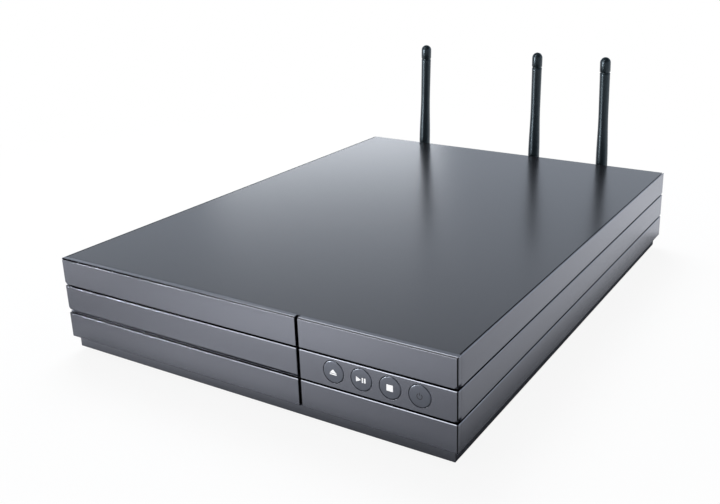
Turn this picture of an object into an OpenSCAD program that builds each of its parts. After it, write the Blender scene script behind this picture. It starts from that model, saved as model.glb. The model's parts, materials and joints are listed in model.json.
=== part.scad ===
// Media player with a disc tray, four push buttons and three tilting rod antennas.
// X runs from left to right, Y from the front face to the rear, Z up from the floor.
// Inside the modules Y counts from the front face; place() centres the whole part.

/* [Case] */
// Width over both side panels
case_w = 270; // [264:1:320]
// Depth from the front face to the rear edge
case_d = 352; // [346:1:400]
// Height of the rubber feet under the pan
foot_h = 2.9; // [2:0.1:5]
// Height of the set-back plinth
plinth_h = 7.3; // [5:0.1:9]
// Height of the lowest band
band_low_h = 15.9; // [14:0.1:18]
// Height of the middle band, which holds the tray front and the buttons
band_mid_h = 16.9; // [16:0.1:20]
// Height of the top band
band_top_h = 17; // [14:0.1:20]
// Clear height of the grooves between the bands
groove_h = 1; // [0.5:0.1:1.5]
// Depth of the grooves between the bands
groove_depth = 1.5; // [0.8:0.1:1.8]
// Slope under each band
band_chamfer = 0.5; // [0.2:0.1:0.9]
// Slope on top of each band
band_bevel = 0.3; // [0.1:0.1:0.6]
// Thickness of the side panels
panel_t = 2.9; // [2.6:0.1:4]
// Width of the lip of a side panel beside the cover
lip_w = 0.6; // [0.5:0.1:1.6]
// Open seam between the cover and the parts around it
seam = 0.8; // [0.3:0.1:1]
// Sheet of the pan and the rear panel
sheet_t = 1.2; // [0.8:0.1:1.6]
// Sheet of the top cover
cover_t = 1.0; // [0.8:0.1:1.4]
// Set-back of the plinth at the rear
plinth_back = 5; // [4:0.5:8]
// Radius of a foot
foot_r = 7; // [5:0.5:9]

/* [Front] */
// Depth of the bezel that shows at the top and the sides
bezel_lip = 3.5; // [3.2:0.1:5]
// Wall of the bezel behind the bands
bezel_wall = 2.2; // [1.6:0.1:3]
// Slope along the top edge and the corners of the bezel
bezel_edge = 0.9; // [0.4:0.1:1.1]
// Cut at the lower corners of the middle and top bands, at the ends of the case
corner_cut = 2.6; // [0.8:0.1:2.8]
// Centre of the vertical gap, from the middle of the case
divider_x = 41.4; // [38:0.5:46]
// Width of the vertical gap
divider_w = 2.1; // [1:0.1:3]
// Width of the gap in the lowest band
divider_low_w = 1.4; // [1:0.1:2]
// Depth of the vertical gap
divider_depth = 2.6; // [1.5:0.1:2.9]
// Height of the ledge under the tray front
ledge_h = 0.6; // [0.5:0.1:1]
// Gap between the ledge and the tray front
ledge_gap = 0.6; // [0.4:0.1:1]
// Radius of a button
button_r = 6.2; // [5.4:0.1:7]
// Ring gap around a button
button_gap = 0.25; // [0.25:0.05:0.6]
// Way that a button stands out of the bezel
button_out = 0.35; // [0:0.05:0.8]
// Distance from button to button
button_pitch = 16.85; // [16.6:0.05:18]
// Centre of the first button, from the vertical gap
button_start = 22.2; // [19:0.1:25]
// Way that a button is pressed in
button_travel = 0.8; // [0.4:0.1:1]

/* [Disc loader] */
// Width of the tray
tray_w = 128; // [126:0.5:130]
// Height of the tray
tray_h = 8.4; // [8:0.1:9]
// Rear end of the tray, from the front face
tray_end = 170; // [168:1:176]
// Distance of the disc's centre from the front face
disc_y = 78; // [77:0.5:80]
// Radius of the seat for a large disc
disc_r = 60.5; // [60:0.1:61]
// Radius of the seat for a small disc
small_disc_r = 41; // [40.5:0.1:42]
// Depth of the large seat
seat_depth = 3.2; // [2.6:0.1:3.4]
// Way that the tray slides out
tray_travel = 136; // [120:1:137]
// Half width of the slot for the turntable and the pickup
slot_half = 17; // [16.5:0.1:18]
// Radius of the turntable
turntable_r = 15; // [13:0.5:15.5]
// Module of the rack and its pinion
rack_module = 1; // [0.8:0.1:1]
// Module of the second pair of gears
train_module = 0.8; // [0.7:0.05:0.8]
// Play between the flanks of meshing teeth
backlash = 0.22; // [0.18:0.02:0.3]
// Radius of the belt groove in the large pulley
pulley_r = 10.2; // [9:0.1:11]
// Radius of the belt groove in the motor pulley
motor_pulley_r = 3; // [2.4:0.1:3.6]

/* [Antennas] */
// Place of the left antenna, from the middle of the case
antenna_left_x = -88; // [-110:1:-70]
// Place of the middle antenna
antenna_mid_x = 20; // [10:1:24]
// Place of the right antenna
antenna_right_x = 81; // [78:1:90]
// Height of the antenna hinges above the floor
antenna_z = 38; // [37:0.5:42]
// Distance of the hinge axis behind the rear edge of the case
antenna_out = 9.4; // [9:0.1:14]
// Length of a rod from its hinge to its tip
antenna_len = 110; // [90:1:112]
// Radius of a rod near its hinge
antenna_r = 4.75; // [4.5:0.05:5]
// Radius of a rod at its neck
antenna_neck_r = 3.95; // [3.5:0.05:4.2]

/* [Boards] */
// Thickness of the circuit boards
board_t = 1.6; // [1.2:0.1:2]
// Height of the posts under the boards
post_h = 8; // [6:0.5:9]
// Width of the power supply board
power_w = 74; // [70:1:80]
// Depth of the power supply board
power_d = 158; // [150:1:170]
// Depth of the main board
main_d = 112; // [104:1:118]
// Outer radius of a phono jack
jack_r = 4.15; // [4:0.05:4.3]
// Length of a phono jack behind the rear panel
jack_len = 9; // [8:0.5:10]

/* [Hidden] */
$fn = 48;

// Clearances
fit = 0.3;
running = 0.06;
slide_gap = 0.3;
cut = 1;
screw_r = 1.4;
screw_play = 0.15;
screw_head_r = 2.8;
screw_head_h = 1.6;

// Levels of the bands
z_low0 = foot_h + plinth_h;
z_low1 = z_low0 + band_low_h;
z_mid0 = z_low1 + groove_h;
z_mid1 = z_mid0 + band_mid_h;
z_top0 = z_mid1 + groove_h;
case_top = z_top0 + band_top_h;
bands = [[z_low0, z_low1], [z_mid0, z_mid1], [z_top0, case_top]];
half_w = case_w / 2;

// Pan, rear panel and cover
pan_out = half_w - panel_t - fit;
pan_in = pan_out - sheet_t;
pan_front = panel_t + fit;
pan_back = case_d - plinth_back;
pan_floor = foot_h + sheet_t;
bezel_back = bezel_lip + bezel_wall;
rear_out = case_d - cover_t - fit;
rear_in = rear_out - sheet_t;
cover_under = case_top - cover_t;
cover_half = half_w - lip_w - seam;
wall_top = cover_under - 3;
flange_h = 9;
cover_side_y1 = rear_in - 3;

// Whole part along Y, for the centring
total_d = case_d + antenna_out + antenna_r;

// Front
divider_left = divider_x - divider_w / 2;
divider_right = divider_x + divider_w / 2;
front_t = bezel_lip - fit;
front_z0 = z_mid0 + ledge_h + ledge_gap;
button_z = (z_mid0 + z_mid1) / 2 + 0.8;
button_x = [for (i = [0:3]) divider_x + button_start + i * button_pitch];
button_flange_t = 1;
button_flange_y = bezel_back + fit;
button_flange_r = button_r + button_gap + 0.8;
switch_y = button_flange_y + button_flange_t + button_travel + 1.6;
switch_t = 3.5;
stem_r = 1.6;
board_y = switch_y + switch_t;

// Loader
loader_x = (divider_left - half_w) / 2;
tray_z = front_z0 + (z_mid1 - front_z0 - tray_h) / 2 - 0.35;
tray_top = tray_z + tray_h;
tray_half = tray_w / 2;
tray_wall = 2.5;
seat_z = tray_top - seat_depth;
small_seat_step = 0.8;
skin_t = 1.4;
skin_z = seat_z - skin_t;
rail_z0 = tray_z + 3.6;
rail_h = 1.4;
rail_in = 1.5;
frame_z = tray_z - 10.2;
frame_t = 2.2;
frame_in = tray_half + 2.5;
frame_wall = 2.5;
frame_y0 = bezel_back + 1.3;
frame_y1 = tray_end + 30;
frame_top = tray_top + 3.6;
ear_w = 9;
ear_y = [26, frame_y1 - 12];

// Gear train: rack, pinion 18, wheel 40, pinion 17, pulley, belt, motor pulley
pressure = 20;
pinion_teeth = 18;
wheel_teeth = 40;
small_teeth = 17;
pinion_r = rack_module * pinion_teeth / 2;
wheel_r = train_module * wheel_teeth / 2;
small_r = train_module * small_teeth / 2;
rack_bar = 2.75;
rack_x = loader_x - tray_half + tray_wall + rack_bar + 1.25 * rack_module;
gear_y = 27;
drive_x = rack_x + pinion_r;
pulley_x = drive_x + wheel_r + small_r;
motor_x = pulley_x + 33.5;
gear_post_r = 2;
pinion_z0 = tray_z + 0.4;
pinion_z1 = pinion_z0 + 2;
wheel_z0 = frame_z + frame_t + fit;
wheel_z1 = wheel_z0 + 2.6;
pulley_z0 = wheel_z1 + 0.6;
pulley_flange = 0.9;
pulley_z1 = pulley_z0 + 3.2;
belt_h = pulley_z1 - pulley_z0 - 2 * pulley_flange - 2 * 0.2;

// Lift frame, traverse and pickup
lift_half = 50;
lift_open = 34;
lift_y0 = disc_y - 22;
lift_y1 = lift_y0 + 130;
lift_z = frame_z + 2.6;
lift_t = 3;
pivot_y = lift_y1 - 3.5;
pivot_z = lift_z + lift_t / 2;
pivot_r = 1.4;
cam_travel = 24;
cam_y = lift_y0 - 2.6;
cam_t = 1.6;
cam_pin_x = [-34, 34];
cam_pin_r = 1.5;
lift_angle = 4.5;
lift_drop = (pivot_y - cam_y) * sin(lift_angle);
chassis_z = tray_z - 2.6;
chassis_t = 1.2;
chassis_top = chassis_z + chassis_t;
chassis_y0 = disc_y - 14;
chassis_y1 = disc_y + 88;
grommet_x = 40;
grommet_y = [chassis_y0 + 4, chassis_y1 - 4];
rod_x = 27;
rod_r = 1.5;
rod_z = chassis_z - 2.9;
rod_y0 = disc_y + 8;
rod_y1 = disc_y + 84;
screw_x = 21.5;
lead_r = 1.4;
sled_y0 = disc_y + 16;
sled_len = 26;
lens_y = disc_y + 23.5;
sled_travel = 34;
sled_motor_r = 4.9;
spindle_top = tray_top + 0.2;

// Clamp
bridge_t = 1.2;
bridge_w = 26;
clamper_r = 14.5;
clamper_z = spindle_top + 0.4;
clamper_neck_r = 7.4;
clamper_t = 1.6;

// Boards
pan_gap = 6;
board_z = pan_floor + post_h;
board_top = board_z + board_t;
post_r = 3.2;
power_x1 = pan_in - pan_gap;
power_x0 = power_x1 - power_w;
power_y1 = rear_in - 4;
power_y0 = power_y1 - power_d;
main_x0 = pan_gap - pan_in;
main_x1 = power_x0 - 8;
main_y1 = rear_in - 2;
main_y0 = main_y1 - main_d;
post_edge = 5;
jack_z = board_top + 8.2;
jack_pitch = 14;
jack_collar = 1.2;
jack_collar_t = 0.7;
network_x = main_x0 + 14;
hdmi_x = main_x0 + 38;
optical_x = main_x0 + 58;
jack_x = [for (i = [0:5]) main_x0 + 78 + i * jack_pitch + (i > 2 ? 5 : 0)];
inlet_x = power_x0 + 46;
inlet_z = board_top + 8;
antenna_xs = [antenna_left_x, antenna_mid_x, antenna_right_x];
antenna_lean = [1.9, 0.5, -0.9];
antenna_y = case_d + antenna_out;
socket_r = 3.1;
nut_t = 1.8;
knuckle_r = 4.6;
tongue_half = 2.2;
trunnion_r = 1.6;

function corners(x0, x1, y0, y1) = [[x0, y0], [x1, y0], [x0, y1], [x1, y1]];
main_posts = corners(main_x0 + post_edge, main_x1 - post_edge, main_y0 + post_edge, main_y1 - 34);
power_posts = corners(power_x0 + post_edge, power_x1 - post_edge,
    power_y0 + post_edge, power_y1 - post_edge);
ear_x = frame_in + frame_wall + ear_w / 2 - 0.5;
loader_posts = corners(loader_x - ear_x, loader_x + ear_x, ear_y[0], ear_y[1]);
foot_inset = 26;
foot_places = corners(-half_w + foot_inset, half_w - foot_inset,
    foot_inset, case_d - foot_inset);
button_posts = [button_x[0] - 11, button_x[3] + 11];
button_post_r = 2.8;
button_board_edge = 3.4;

// ---------- helpers ----------

module place() translate([0, (button_out - total_d) / 2, 0]) children();

module block(x, y, z)
    translate([x[0], y[0], z[0]]) cube([x[1] - x[0], y[1] - y[0], z[1] - z[0]]);

// A flat outline in X and Z, pushed along Y
module along_y(y0, y1)
    translate([0, y1, 0]) rotate([90, 0, 0]) linear_extrude(y1 - y0) children();

// A flat outline in Y and Z, pushed along X
module along_x(x0, x1)
    translate([x0, 0, 0]) rotate([90, 0, 90]) linear_extrude(x1 - x0) children();

module rod_y(x, z, y0, y1, r)
    translate([x, y1, z]) rotate([90, 0, 0]) cylinder(r = r, h = y1 - y0);

module rod_x(x0, x1, y, z, r)
    translate([x0, y, z]) rotate([0, 90, 0]) cylinder(r = r, h = x1 - x0);

module rod_z(x, y, z0, z1, r) translate([x, y, z0]) cylinder(r = r, h = z1 - z0);

// A rounded plate, made of straight bars and true corner cylinders
module plate(x, y, z, r) {
    block([x[0] + r, x[1] - r], y, z);
    block(x, [y[0] + r, y[1] - r], z);
    for (p = corners(x[0] + r, x[1] - r, y[0] + r, y[1] - r)) rod_z(p[0], p[1], z[0], z[1], r);
}

// A pan-head screw along Z, its head resting at the height z
module screw_down(x, y, z, len) {
    rod_z(x, y, z, z + screw_head_h, screw_head_r);
    rod_z(x, y, z - len, z + 0.1, screw_r);
}

// Outline of the three bands, with the face at the distance given
function band_line(i, face, top, low) = [
    [face - low, bands[i][0]],
    [face, bands[i][0] + low],
    [face, bands[i][1] - top],
    [face - top, bands[i][1]]
];
function banded(face, top, low = band_chamfer) = concat(
    band_line(0, face, band_bevel, band_chamfer),
    [[face - groove_depth, z_low1], [face - groove_depth, z_mid0]],
    band_line(1, face, band_bevel, low),
    [[face - groove_depth, z_mid1], [face - groove_depth, z_top0]],
    band_line(2, face, top, low)
);
function mirrored(points) = [for (i = [len(points) - 1:-1:0]) [-points[i][0], points[i][1]]];

// Involute gear outline
function inv_deg(a) = tan(a) * 180 / PI - a;
function flank_angle(m, teeth, r) =
    let (rp = m * teeth / 2, rb = rp * cos(pressure))
    90 / teeth - backlash / 2 / rp * 90 / PI + inv_deg(pressure) - inv_deg(acos(min(1, rb / r)));
function polar(r, a) = [r * cos(a), r * sin(a)];
function gear_points(m, teeth) =
    let (rp = m * teeth / 2, rb = rp * cos(pressure), ra = rp + m, rf = rp - 1.25 * m,
         r0 = max(rb, rf) + 0.02, steps = 4)
    [for (i = [0:teeth - 1], k = [-steps - 1:steps + 1])
        let (a = i * 360 / teeth, side = k < 0 ? -1 : 1, n = abs(k))
        if (k != 0)
            n == steps + 1
                ? polar(rf, a + side * flank_angle(m, teeth, r0))
                : polar(ra + (r0 - ra) * (n - 1) / (steps - 1),
                    a + side * flank_angle(m, teeth, ra + (r0 - ra) * (n - 1) / (steps - 1)))];

module gear(m, teeth, z0, z1) translate([0, 0, z0]) linear_extrude(z1 - z0)
    polygon(gear_points(m, teeth));

// Straight rack teeth: the first number of a point is the height above the pitch line
function rack_points(m, y0, count) =
    let (pitch = PI * m, half = PI * m / 4 - backlash / 2, t = tan(pressure))
    concat([[-1.25 * m, y0 - pitch / 2]],
        [for (i = [0:count - 1]) let (c = y0 + i * pitch)
            each [[-1.25 * m, c - half - 1.25 * m * t], [m, c - half + m * t],
                  [m, c + half - m * t], [-1.25 * m, c + half + 1.25 * m * t]]],
        [[-1.25 * m, y0 + (count - 0.5) * pitch],
         [-1.25 * m - rack_bar - 0.1, y0 + (count - 0.5) * pitch],
         [-1.25 * m - rack_bar - 0.1, y0 - pitch / 2]]);

// A round lead through the points given
module lead(points, r) for (i = [0:len(points) - 2]) {
    d = points[i + 1] - points[i];
    translate(points[i]) rotate([0, acos(d[2] / norm(d)), atan2(d[1], d[0])])
        cylinder(r = r, h = norm(d), $fn = 16);
    if (i > 0) translate(points[i]) sphere(r = r * 1.15, $fn = 16);
}

// ---------- case ----------

module base_pan() color("#26272a") place() difference() {
    union() {
        block([-pan_out, pan_out], [pan_front, pan_back], [foot_h, pan_floor]);
        block([-pan_out, pan_out], [pan_front, pan_front + sheet_t], [foot_h, z_low0 - fit]);
        block([-pan_out, pan_out], [pan_back - sheet_t, pan_back], [foot_h, z_low0]);
        block([-pan_out, pan_out], [pan_back - sheet_t, rear_out], [z_low0 - sheet_t, z_low0]);
        for (side = [-1, 1]) {
            x = side < 0 ? [-pan_out, -pan_in] : [pan_in, pan_out];
            block(x, [pan_front, pan_back], [foot_h, z_low0 - fit]);
            block(x, [bezel_back + fit, rear_in], [z_low0 - sheet_t, wall_top]);
        }
        for (p = main_posts) rod_z(p[0], p[1], foot_h + 0.2, board_z, post_r);
        for (p = power_posts) rod_z(p[0], p[1], foot_h + 0.2, board_z, post_r);
        for (p = loader_posts) rod_z(p[0], p[1], foot_h + 0.2, frame_z, post_r + 0.6);
    }
    for (p = concat(main_posts, power_posts))
        rod_z(p[0], p[1], pan_floor + 1, board_z + cut, screw_r + screw_play);
    for (p = loader_posts)
        rod_z(p[0], p[1], frame_z - 8, frame_z + cut, screw_r + screw_play);
    for (p = foot_places) rod_z(p[0], p[1], 0, pan_floor + cut, foot_plug_r + running);
    // Air slots under the boards
    for (i = [0:11]) {
        x = main_x0 + 22 + i * 11;
        block([x, x + 3], [main_y0 + 20, main_y0 + 62], [0, pan_floor + cut]);
    }
    for (i = [0:4]) {
        x = power_x0 + 14 + i * 11;
        block([x, x + 3], [power_y0 + 20, power_y0 + 62], [0, pan_floor + cut]);
    }
}

foot_plug_r = 2.6;

// The outline of a side panel, seen from the front, for the right side
function panel_outline() = concat(
    banded(half_w, band_bevel),
    [[half_w - lip_w, case_top],
     [half_w - lip_w, cover_under - fit],
     [half_w - panel_t, cover_under - fit],
     [half_w - panel_t, z_low0]]
);
panel_y0 = bezel_lip + 0.2;
rear_cut = 0.6 * corner_cut;
peg_y = [30, case_d / 2, case_d - 34];

module side_panel(side) place() mirror([side < 0 ? 1 : 0, 0, 0]) {
    difference() {
        along_y(panel_y0, case_d) polygon(panel_outline());
        // Sloped upright edge at the rear
        translate([half_w, case_d, 0]) rotate([0, 0, 45])
            cube([band_bevel * 3, band_bevel * 3, 4 * case_top], center = true);
        // Cut lower corners of the middle and top bands at the rear
        for (z = [z_mid0, z_top0]) along_x(half_w - panel_t - cut, half_w + cut)
            polygon([[case_d - rear_cut - 0.4, z - 0.4], [case_d + 0.6, z - 0.4],
                [case_d + 0.6, z + rear_cut + 0.6]]);
    }
    // Ribs that stiffen the thin panel between the grooves and the pan
    for (y = peg_y)
        block([pan_out + 0.1, half_w - panel_t + 0.1], [y, y + 12], [z_low0 + 4, wall_top - 4]);
}

module side_panel_left() color("#35373b") side_panel(-1);
module side_panel_right() color("#35373b") side_panel(1);

module bezel_front_slab() intersection() {
    along_x(-half_w, half_w)
        polygon(concat([for (p = banded(0, bezel_edge)) [-p[0], p[1]]],
            [[bezel_lip, case_top], [bezel_lip, z_low0]]));
    along_y(0, bezel_lip)
        polygon(concat(banded(half_w, band_bevel, corner_cut),
            mirrored(banded(half_w, band_bevel, corner_cut))));
    linear_extrude(2 * case_top)
        polygon([[bezel_edge - half_w, 0], [half_w - bezel_edge, 0], [half_w, bezel_edge],
            [half_w, bezel_lip], [-half_w, bezel_lip], [-half_w, bezel_edge]]);
}

hook_x = [-110, -60, 70, 110];

module front_bezel() color("#2c2e32") place() difference() {
    union() {
        bezel_front_slab();
        block([-pan_out, pan_out], [bezel_lip - 0.1, bezel_back], [z_low0, cover_under - fit]);
        // Hooks behind the front wall of the plinth
        for (x = hook_x)
            block([x - 5, x + 5], [pan_front + sheet_t + 0.2, bezel_back],
                [pan_floor + 0.4, z_low0 + 0.1]);
        // Returns inside the side walls of the pan
        for (side = [-1, 1])
            block(side < 0 ? [-pan_in + fit, -pan_in + fit + 1.6] : [pan_in - fit - 1.6, pan_in - fit],
                [bezel_back - 0.1, bezel_back + 8], [z_low0 + 3, wall_top - flange_h]);
        // Stiffening rib along the top, behind the cover's edge
        block([-pan_out + 4, pan_out - 4], [bezel_back - 0.1, bezel_back + 2],
            [cover_under - fit - 1.6, cover_under - fit]);
        for (x = button_posts) rod_y(x, button_z, bezel_back - 0.1, board_y, button_post_r);
        // Narrow posts that close the right grooves at the vertical gap
        for (z = [z_low1, z_mid1])
            block([divider_right, divider_right + 0.8], [0.5, bezel_lip],
                [z - band_bevel, z + groove_h + band_chamfer]);
    }
    // Pocket of the tray front
    block([-half_w - cut, divider_right], [-cut, bezel_lip], [z_mid0 + ledge_h, z_mid1 + fit]);
    // Slot that the tray passes through
    block([loader_x - tray_half - 1, loader_x + tray_half + 1], [-cut, bezel_back + 3],
        [tray_z - 0.6, tray_top + 0.6]);
    // Vertical gap
    block([divider_left, divider_right], [-cut, divider_depth], [z_top0 - cut, case_top + cut]);
    block([divider_x - divider_low_w / 2, divider_x + divider_low_w / 2], [-cut, divider_depth],
        [z_low0 - cut, z_mid0 + ledge_h]);
    for (x = button_x) rod_y(x, button_z, -cut, bezel_back + 3, button_r + button_gap);
    for (x = button_posts) rod_y(x, button_z, bezel_back + 1, board_y + cut, screw_r + screw_play);
}

module top_cover() color("#3a3c40") place() difference() {
    union() {
        block([-cover_half, cover_half], [bezel_lip + 0.2, case_d], [cover_under, case_top]);
        block([-pan_out + 0.4, pan_out - 0.4], [case_d - cover_t, case_d],
            [case_top - flange_h, case_top - 0.1]);
        for (side = [-1, 1])
            block(side < 0 ? [fit - pan_in, fit - pan_in + cover_t]
                           : [pan_in - fit - cover_t, pan_in - fit],
                [bezel_back + 12, cover_side_y1], [case_top - flange_h - cover_t, case_top - 0.1]);
    }
    for (x = cover_screw_x)
        rod_y(x, cover_screw_z, rear_in, case_d + cut, screw_r + screw_play);
}

cover_screw_x = [-half_w + 20, -30, half_w - 20];
cover_screw_z = case_top - flange_h / 2 - 0.3;

module rear_panel() color("#2a2b2e") place() difference() {
    union() {
        block([-pan_out, pan_out], [rear_in, rear_out], [z_low0, cover_under - fit]);
        for (side = [-1, 1])
            block(side < 0 ? [fit - pan_in, fit - pan_in + sheet_t]
                           : [pan_in - fit - sheet_t, pan_in - fit],
                [rear_in - 12, rear_in + 0.1], [z_low0 + 3, case_top - flange_h - cover_t - 2]);
    }
    for (x = cover_screw_x)
        rod_y(x, cover_screw_z, rear_in - cut, rear_out + cut, screw_r + screw_play);
    for (x = jack_x)
        rod_y(x, jack_z, rear_in - cut, rear_out + cut, jack_r + jack_collar + fit);
    for (x = antenna_xs)
        rod_y(x, antenna_z, rear_in - cut, rear_out + cut, socket_r + running);
    block([network_x - 8, network_x + 8], [rear_in - cut, rear_out + cut],
        [board_top - 0.2, board_top + 13.8]);
    block([hdmi_x - 7.8, hdmi_x + 7.8], [rear_in - cut, rear_out + cut],
        [board_top - 0.2, board_top + 7]);
    block([optical_x - 5.2, optical_x + 5.2], [rear_in - cut, rear_out + cut],
        [board_top - 0.2, board_top + 11]);
    block([inlet_x - 10.8, inlet_x + 10.8], [rear_in - cut, rear_out + cut],
        [inlet_z - 7.3, inlet_z + 7.3]);
    // Air slots above the connectors
    for (i = [0:8]) {
        x = main_x0 + 52 + i * 5;
        block([x, x + 2.4], [rear_in - cut, rear_out + cut], [antenna_z - 4, antenna_z + 8]);
    }
}

module rubber_feet() color("#151515") place() for (p = foot_places) {
    translate([p[0], p[1], 0]) rotate_extrude()
        polygon([[0, 0], [foot_r - 0.6, 0], [foot_r, 0.6], [foot_r - 0.3, foot_h],
            [foot_plug_r, foot_h], [foot_plug_r, pan_floor + 0.2],
            [foot_plug_r + 0.3, pan_floor + 0.6], [foot_plug_r - 0.6, pan_floor + 1.6],
            [0, pan_floor + 1.6]]);
}

module cover_screws() color("#1c1c1e") place() for (x = cover_screw_x) difference() {
    union() {
        rod_y(x, cover_screw_z, case_d, case_d + 1.4, screw_head_r);
        rod_y(x, cover_screw_z, rear_in - 3, case_d + 0.1, screw_r);
    }
    // Cross recess
    for (a = [0, 90]) translate([x, case_d + 1.4, cover_screw_z]) rotate([0, a, 0])
        cube([3, 1.4, 0.7], center = true);
}

// ---------- buttons ----------

module button(i) color("#3b3d41") place() translate([button_x[i], 0, button_z])
    rotate([-90, 0, 0]) rotate_extrude() polygon([
        [0, 0.2 - button_out], [button_r - 2, 0.1 - button_out],
        [button_r - 0.8, -button_out], [button_r - 0.2, 0.15 - button_out],
        [button_r, 0.5 - button_out],
        [button_r, button_flange_y], [button_flange_r, button_flange_y],
        [button_flange_r, button_flange_y + button_flange_t],
        [stem_r, button_flange_y + button_flange_t], [stem_r, switch_y + 0.5],
        [0, switch_y + 0.5]]);

module button_eject() button(0);
module button_play() button(1);
module button_stop() button(2);
module button_power() button(3);

module push_switches() color("#8d8f94") place() for (x = button_x) difference() {
    union() {
        block([x - 3, x + 3], [switch_y + 0.4, board_y], [button_z - 3, button_z + 3]);
        rod_y(x, button_z, switch_y, switch_y + 0.5, 2.6);
    }
    rod_y(x, button_z, switch_y - cut, switch_y + 0.5 + button_travel + 0.4, stem_r + 0.15);
}

button_board_z = [button_z - 11, button_z + 10];

module button_board() color("#1f5a35") place() difference() {
    block([button_posts[0] - button_board_edge, button_posts[1] + button_board_edge],
        [board_y, board_y + board_t], button_board_z);
    for (x = button_posts)
        rod_y(x, button_z, board_y - cut, board_y + board_t + cut, screw_r + screw_play);
}

module infrared_sensor() color("#18181a") place() {
    x = button_x[0] - 3.6;
    block([x - 2.6, x + 2.6], [board_y - 3, board_y], [button_z + 3.6, button_z + 9.6]);
    translate([x, board_y - 3, button_z + 6.8]) sphere(r = 2);
}

// A flat ribbon that runs down from the button board, along the pan and up to the main board
ribbon_w = 10;
ribbon_t = 0.5;
ribbon_x = button_posts[0];
ribbon_y0 = board_y + board_t;
ribbon_z = pan_floor + 0.2;
module ribbon_run(x, y) block(x, y, [ribbon_z, ribbon_z + ribbon_t]);
module button_ribbon() color("#c9cbd0") place() {
    fold_1 = power_y0 - 10;
    fold_2 = main_y0 - 14;
    x1 = main_x1 - ribbon_w;
    x2 = main_x1 - 22;
    y3 = main_y0 - 3;
    block([ribbon_x, ribbon_x + ribbon_w], [ribbon_y0, ribbon_y0 + ribbon_t],
        [ribbon_z, button_z - 6]);
    ribbon_run([ribbon_x, ribbon_x + ribbon_w], [ribbon_y0, fold_1]);
    ribbon_run([x1, ribbon_x + ribbon_w], [fold_1 - ribbon_w, fold_1]);
    ribbon_run([x1, main_x1], [fold_1 - ribbon_w, fold_2 + ribbon_w]);
    ribbon_run([x2, main_x1], [fold_2, fold_2 + ribbon_w]);
    ribbon_run([x2, x2 + ribbon_w], [fold_2, y3]);
    block([x2, x2 + ribbon_w], [y3 - ribbon_t, y3], [ribbon_z, board_top + 2]);
    block([x2, x2 + ribbon_w], [y3 - ribbon_t, main_y0 + 3.1], [board_top + 1.5, board_top + 2]);
    block([x2 - 1, x2 + ribbon_w + 1], [main_y0 + 3, main_y0 + 8], [board_top, board_top + 4]);
}

// ---------- disc loader ----------

module tray_front() color("#2c2e32") place() {
    difference() {
        intersection() {
            along_x(-half_w, divider_left) polygon([
                [band_chamfer, front_z0], [0, front_z0 + band_chamfer],
                [0, z_mid1 - band_bevel], [band_bevel, z_mid1],
                [front_t, z_mid1], [front_t, front_z0]]);
            linear_extrude(2 * case_top) polygon([
                [bezel_edge - half_w, 0], [divider_left - band_bevel, 0],
                [divider_left, band_bevel], [divider_left, front_t],
                [-half_w, front_t], [-half_w, bezel_edge]]);
            along_y(-cut, front_t + cut) polygon([
                [corner_cut - half_w, front_z0], [-half_w, front_z0 + corner_cut],
                [-half_w, case_top], [divider_left + cut, case_top],
                [divider_left + cut, front_z0]]);
        }
        for (side = [-1, 1]) translate([loader_x + side * 50, 0, 0])
            rod_y(0, tray_z + tray_h / 2, 1.4, front_t + cut, tray_peg_r + running);
    }
}

tray_peg_r = 1.5;
rack_count = 46;

module tray_body_blank() {
    x0 = loader_x - tray_half;
    x1 = loader_x + tray_half;
    plate([x0, x1], [front_t, tray_end], [tray_z, tray_top], 3);
    block([x0, x1], [front_t, front_t + 6], [tray_z, tray_top]);
}

module disc_tray() color("#1f2023") place() {
    difference() {
        tray_body_blank();
        // Hollow underside, split by the slot
        difference() {
            block([loader_x - tray_half + tray_wall, loader_x + tray_half - tray_wall],
                [front_t + 4, tray_end - 3], [tray_z - cut, skin_z]);
            block([loader_x - slot_half - 2, loader_x + slot_half + 2],
                [disc_y - slot_half - 2, tray_end], [tray_z - 2 * cut, tray_top]);
            for (y = [disc_y - 40, disc_y - 30]) // two cross ribs on the plain side
                block([loader_x + 4, loader_x + tray_half], [y, y + 1.6],
                    [tray_z - 2 * cut, tray_top]);
        }
        // Way of the pinion, open to the rear
        block([rack_x - rack_module, drive_x + pinion_r + 1.5 * rack_module],
            [gear_y - pinion_r - 2, tray_end + cut], [tray_z - cut, pinion_z1 + 0.3]);
        // Seats of the discs
        translate([loader_x, disc_y, seat_z]) cylinder(r = disc_r, h = seat_depth + cut);
        translate([loader_x, disc_y, seat_z - small_seat_step])
            cylinder(r = small_disc_r, h = seat_depth);
        // Finger hollows at the front of the seat
        for (side = [-1, 1])
            translate([loader_x + side * 42, disc_y - 48, seat_z])
                cylinder(r = 12, h = seat_depth + cut);
        // Slot of the turntable and the pickup, open to the rear
        translate([loader_x, disc_y, tray_z - cut]) cylinder(r = slot_half, h = tray_h + 2 * cut);
        block([loader_x - slot_half, loader_x + slot_half], [disc_y, tray_end + cut],
            [tray_z - cut, tray_top + cut]);
        // Grooves for the rails of the frame
        for (side = [-1, 1])
            block(side < 0 ? [loader_x - tray_half - cut, loader_x - tray_half + rail_in]
                           : [loader_x + tray_half - rail_in, loader_x + tray_half + cut],
                [front_t + 3, tray_end + cut], [rail_z0 - slide_gap, rail_z0 + rail_h + slide_gap]);
    }
    // Rack, under the left edge
    intersection() {
        translate([rack_x, 0, tray_z]) linear_extrude(3)
            polygon(rack_points(rack_module, gear_y + PI * rack_module * (0.5 - 3), rack_count + 5));
        block([rack_x - 20, rack_x + 20], [front_t + 4, tray_end - 0.5], [tray_z - 1, tray_z + 5]);
    }
    for (side = [-1, 1]) rod_y(loader_x + side * 50, tray_z + tray_h / 2, 1.6, front_t + 1, tray_peg_r);
}

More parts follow.
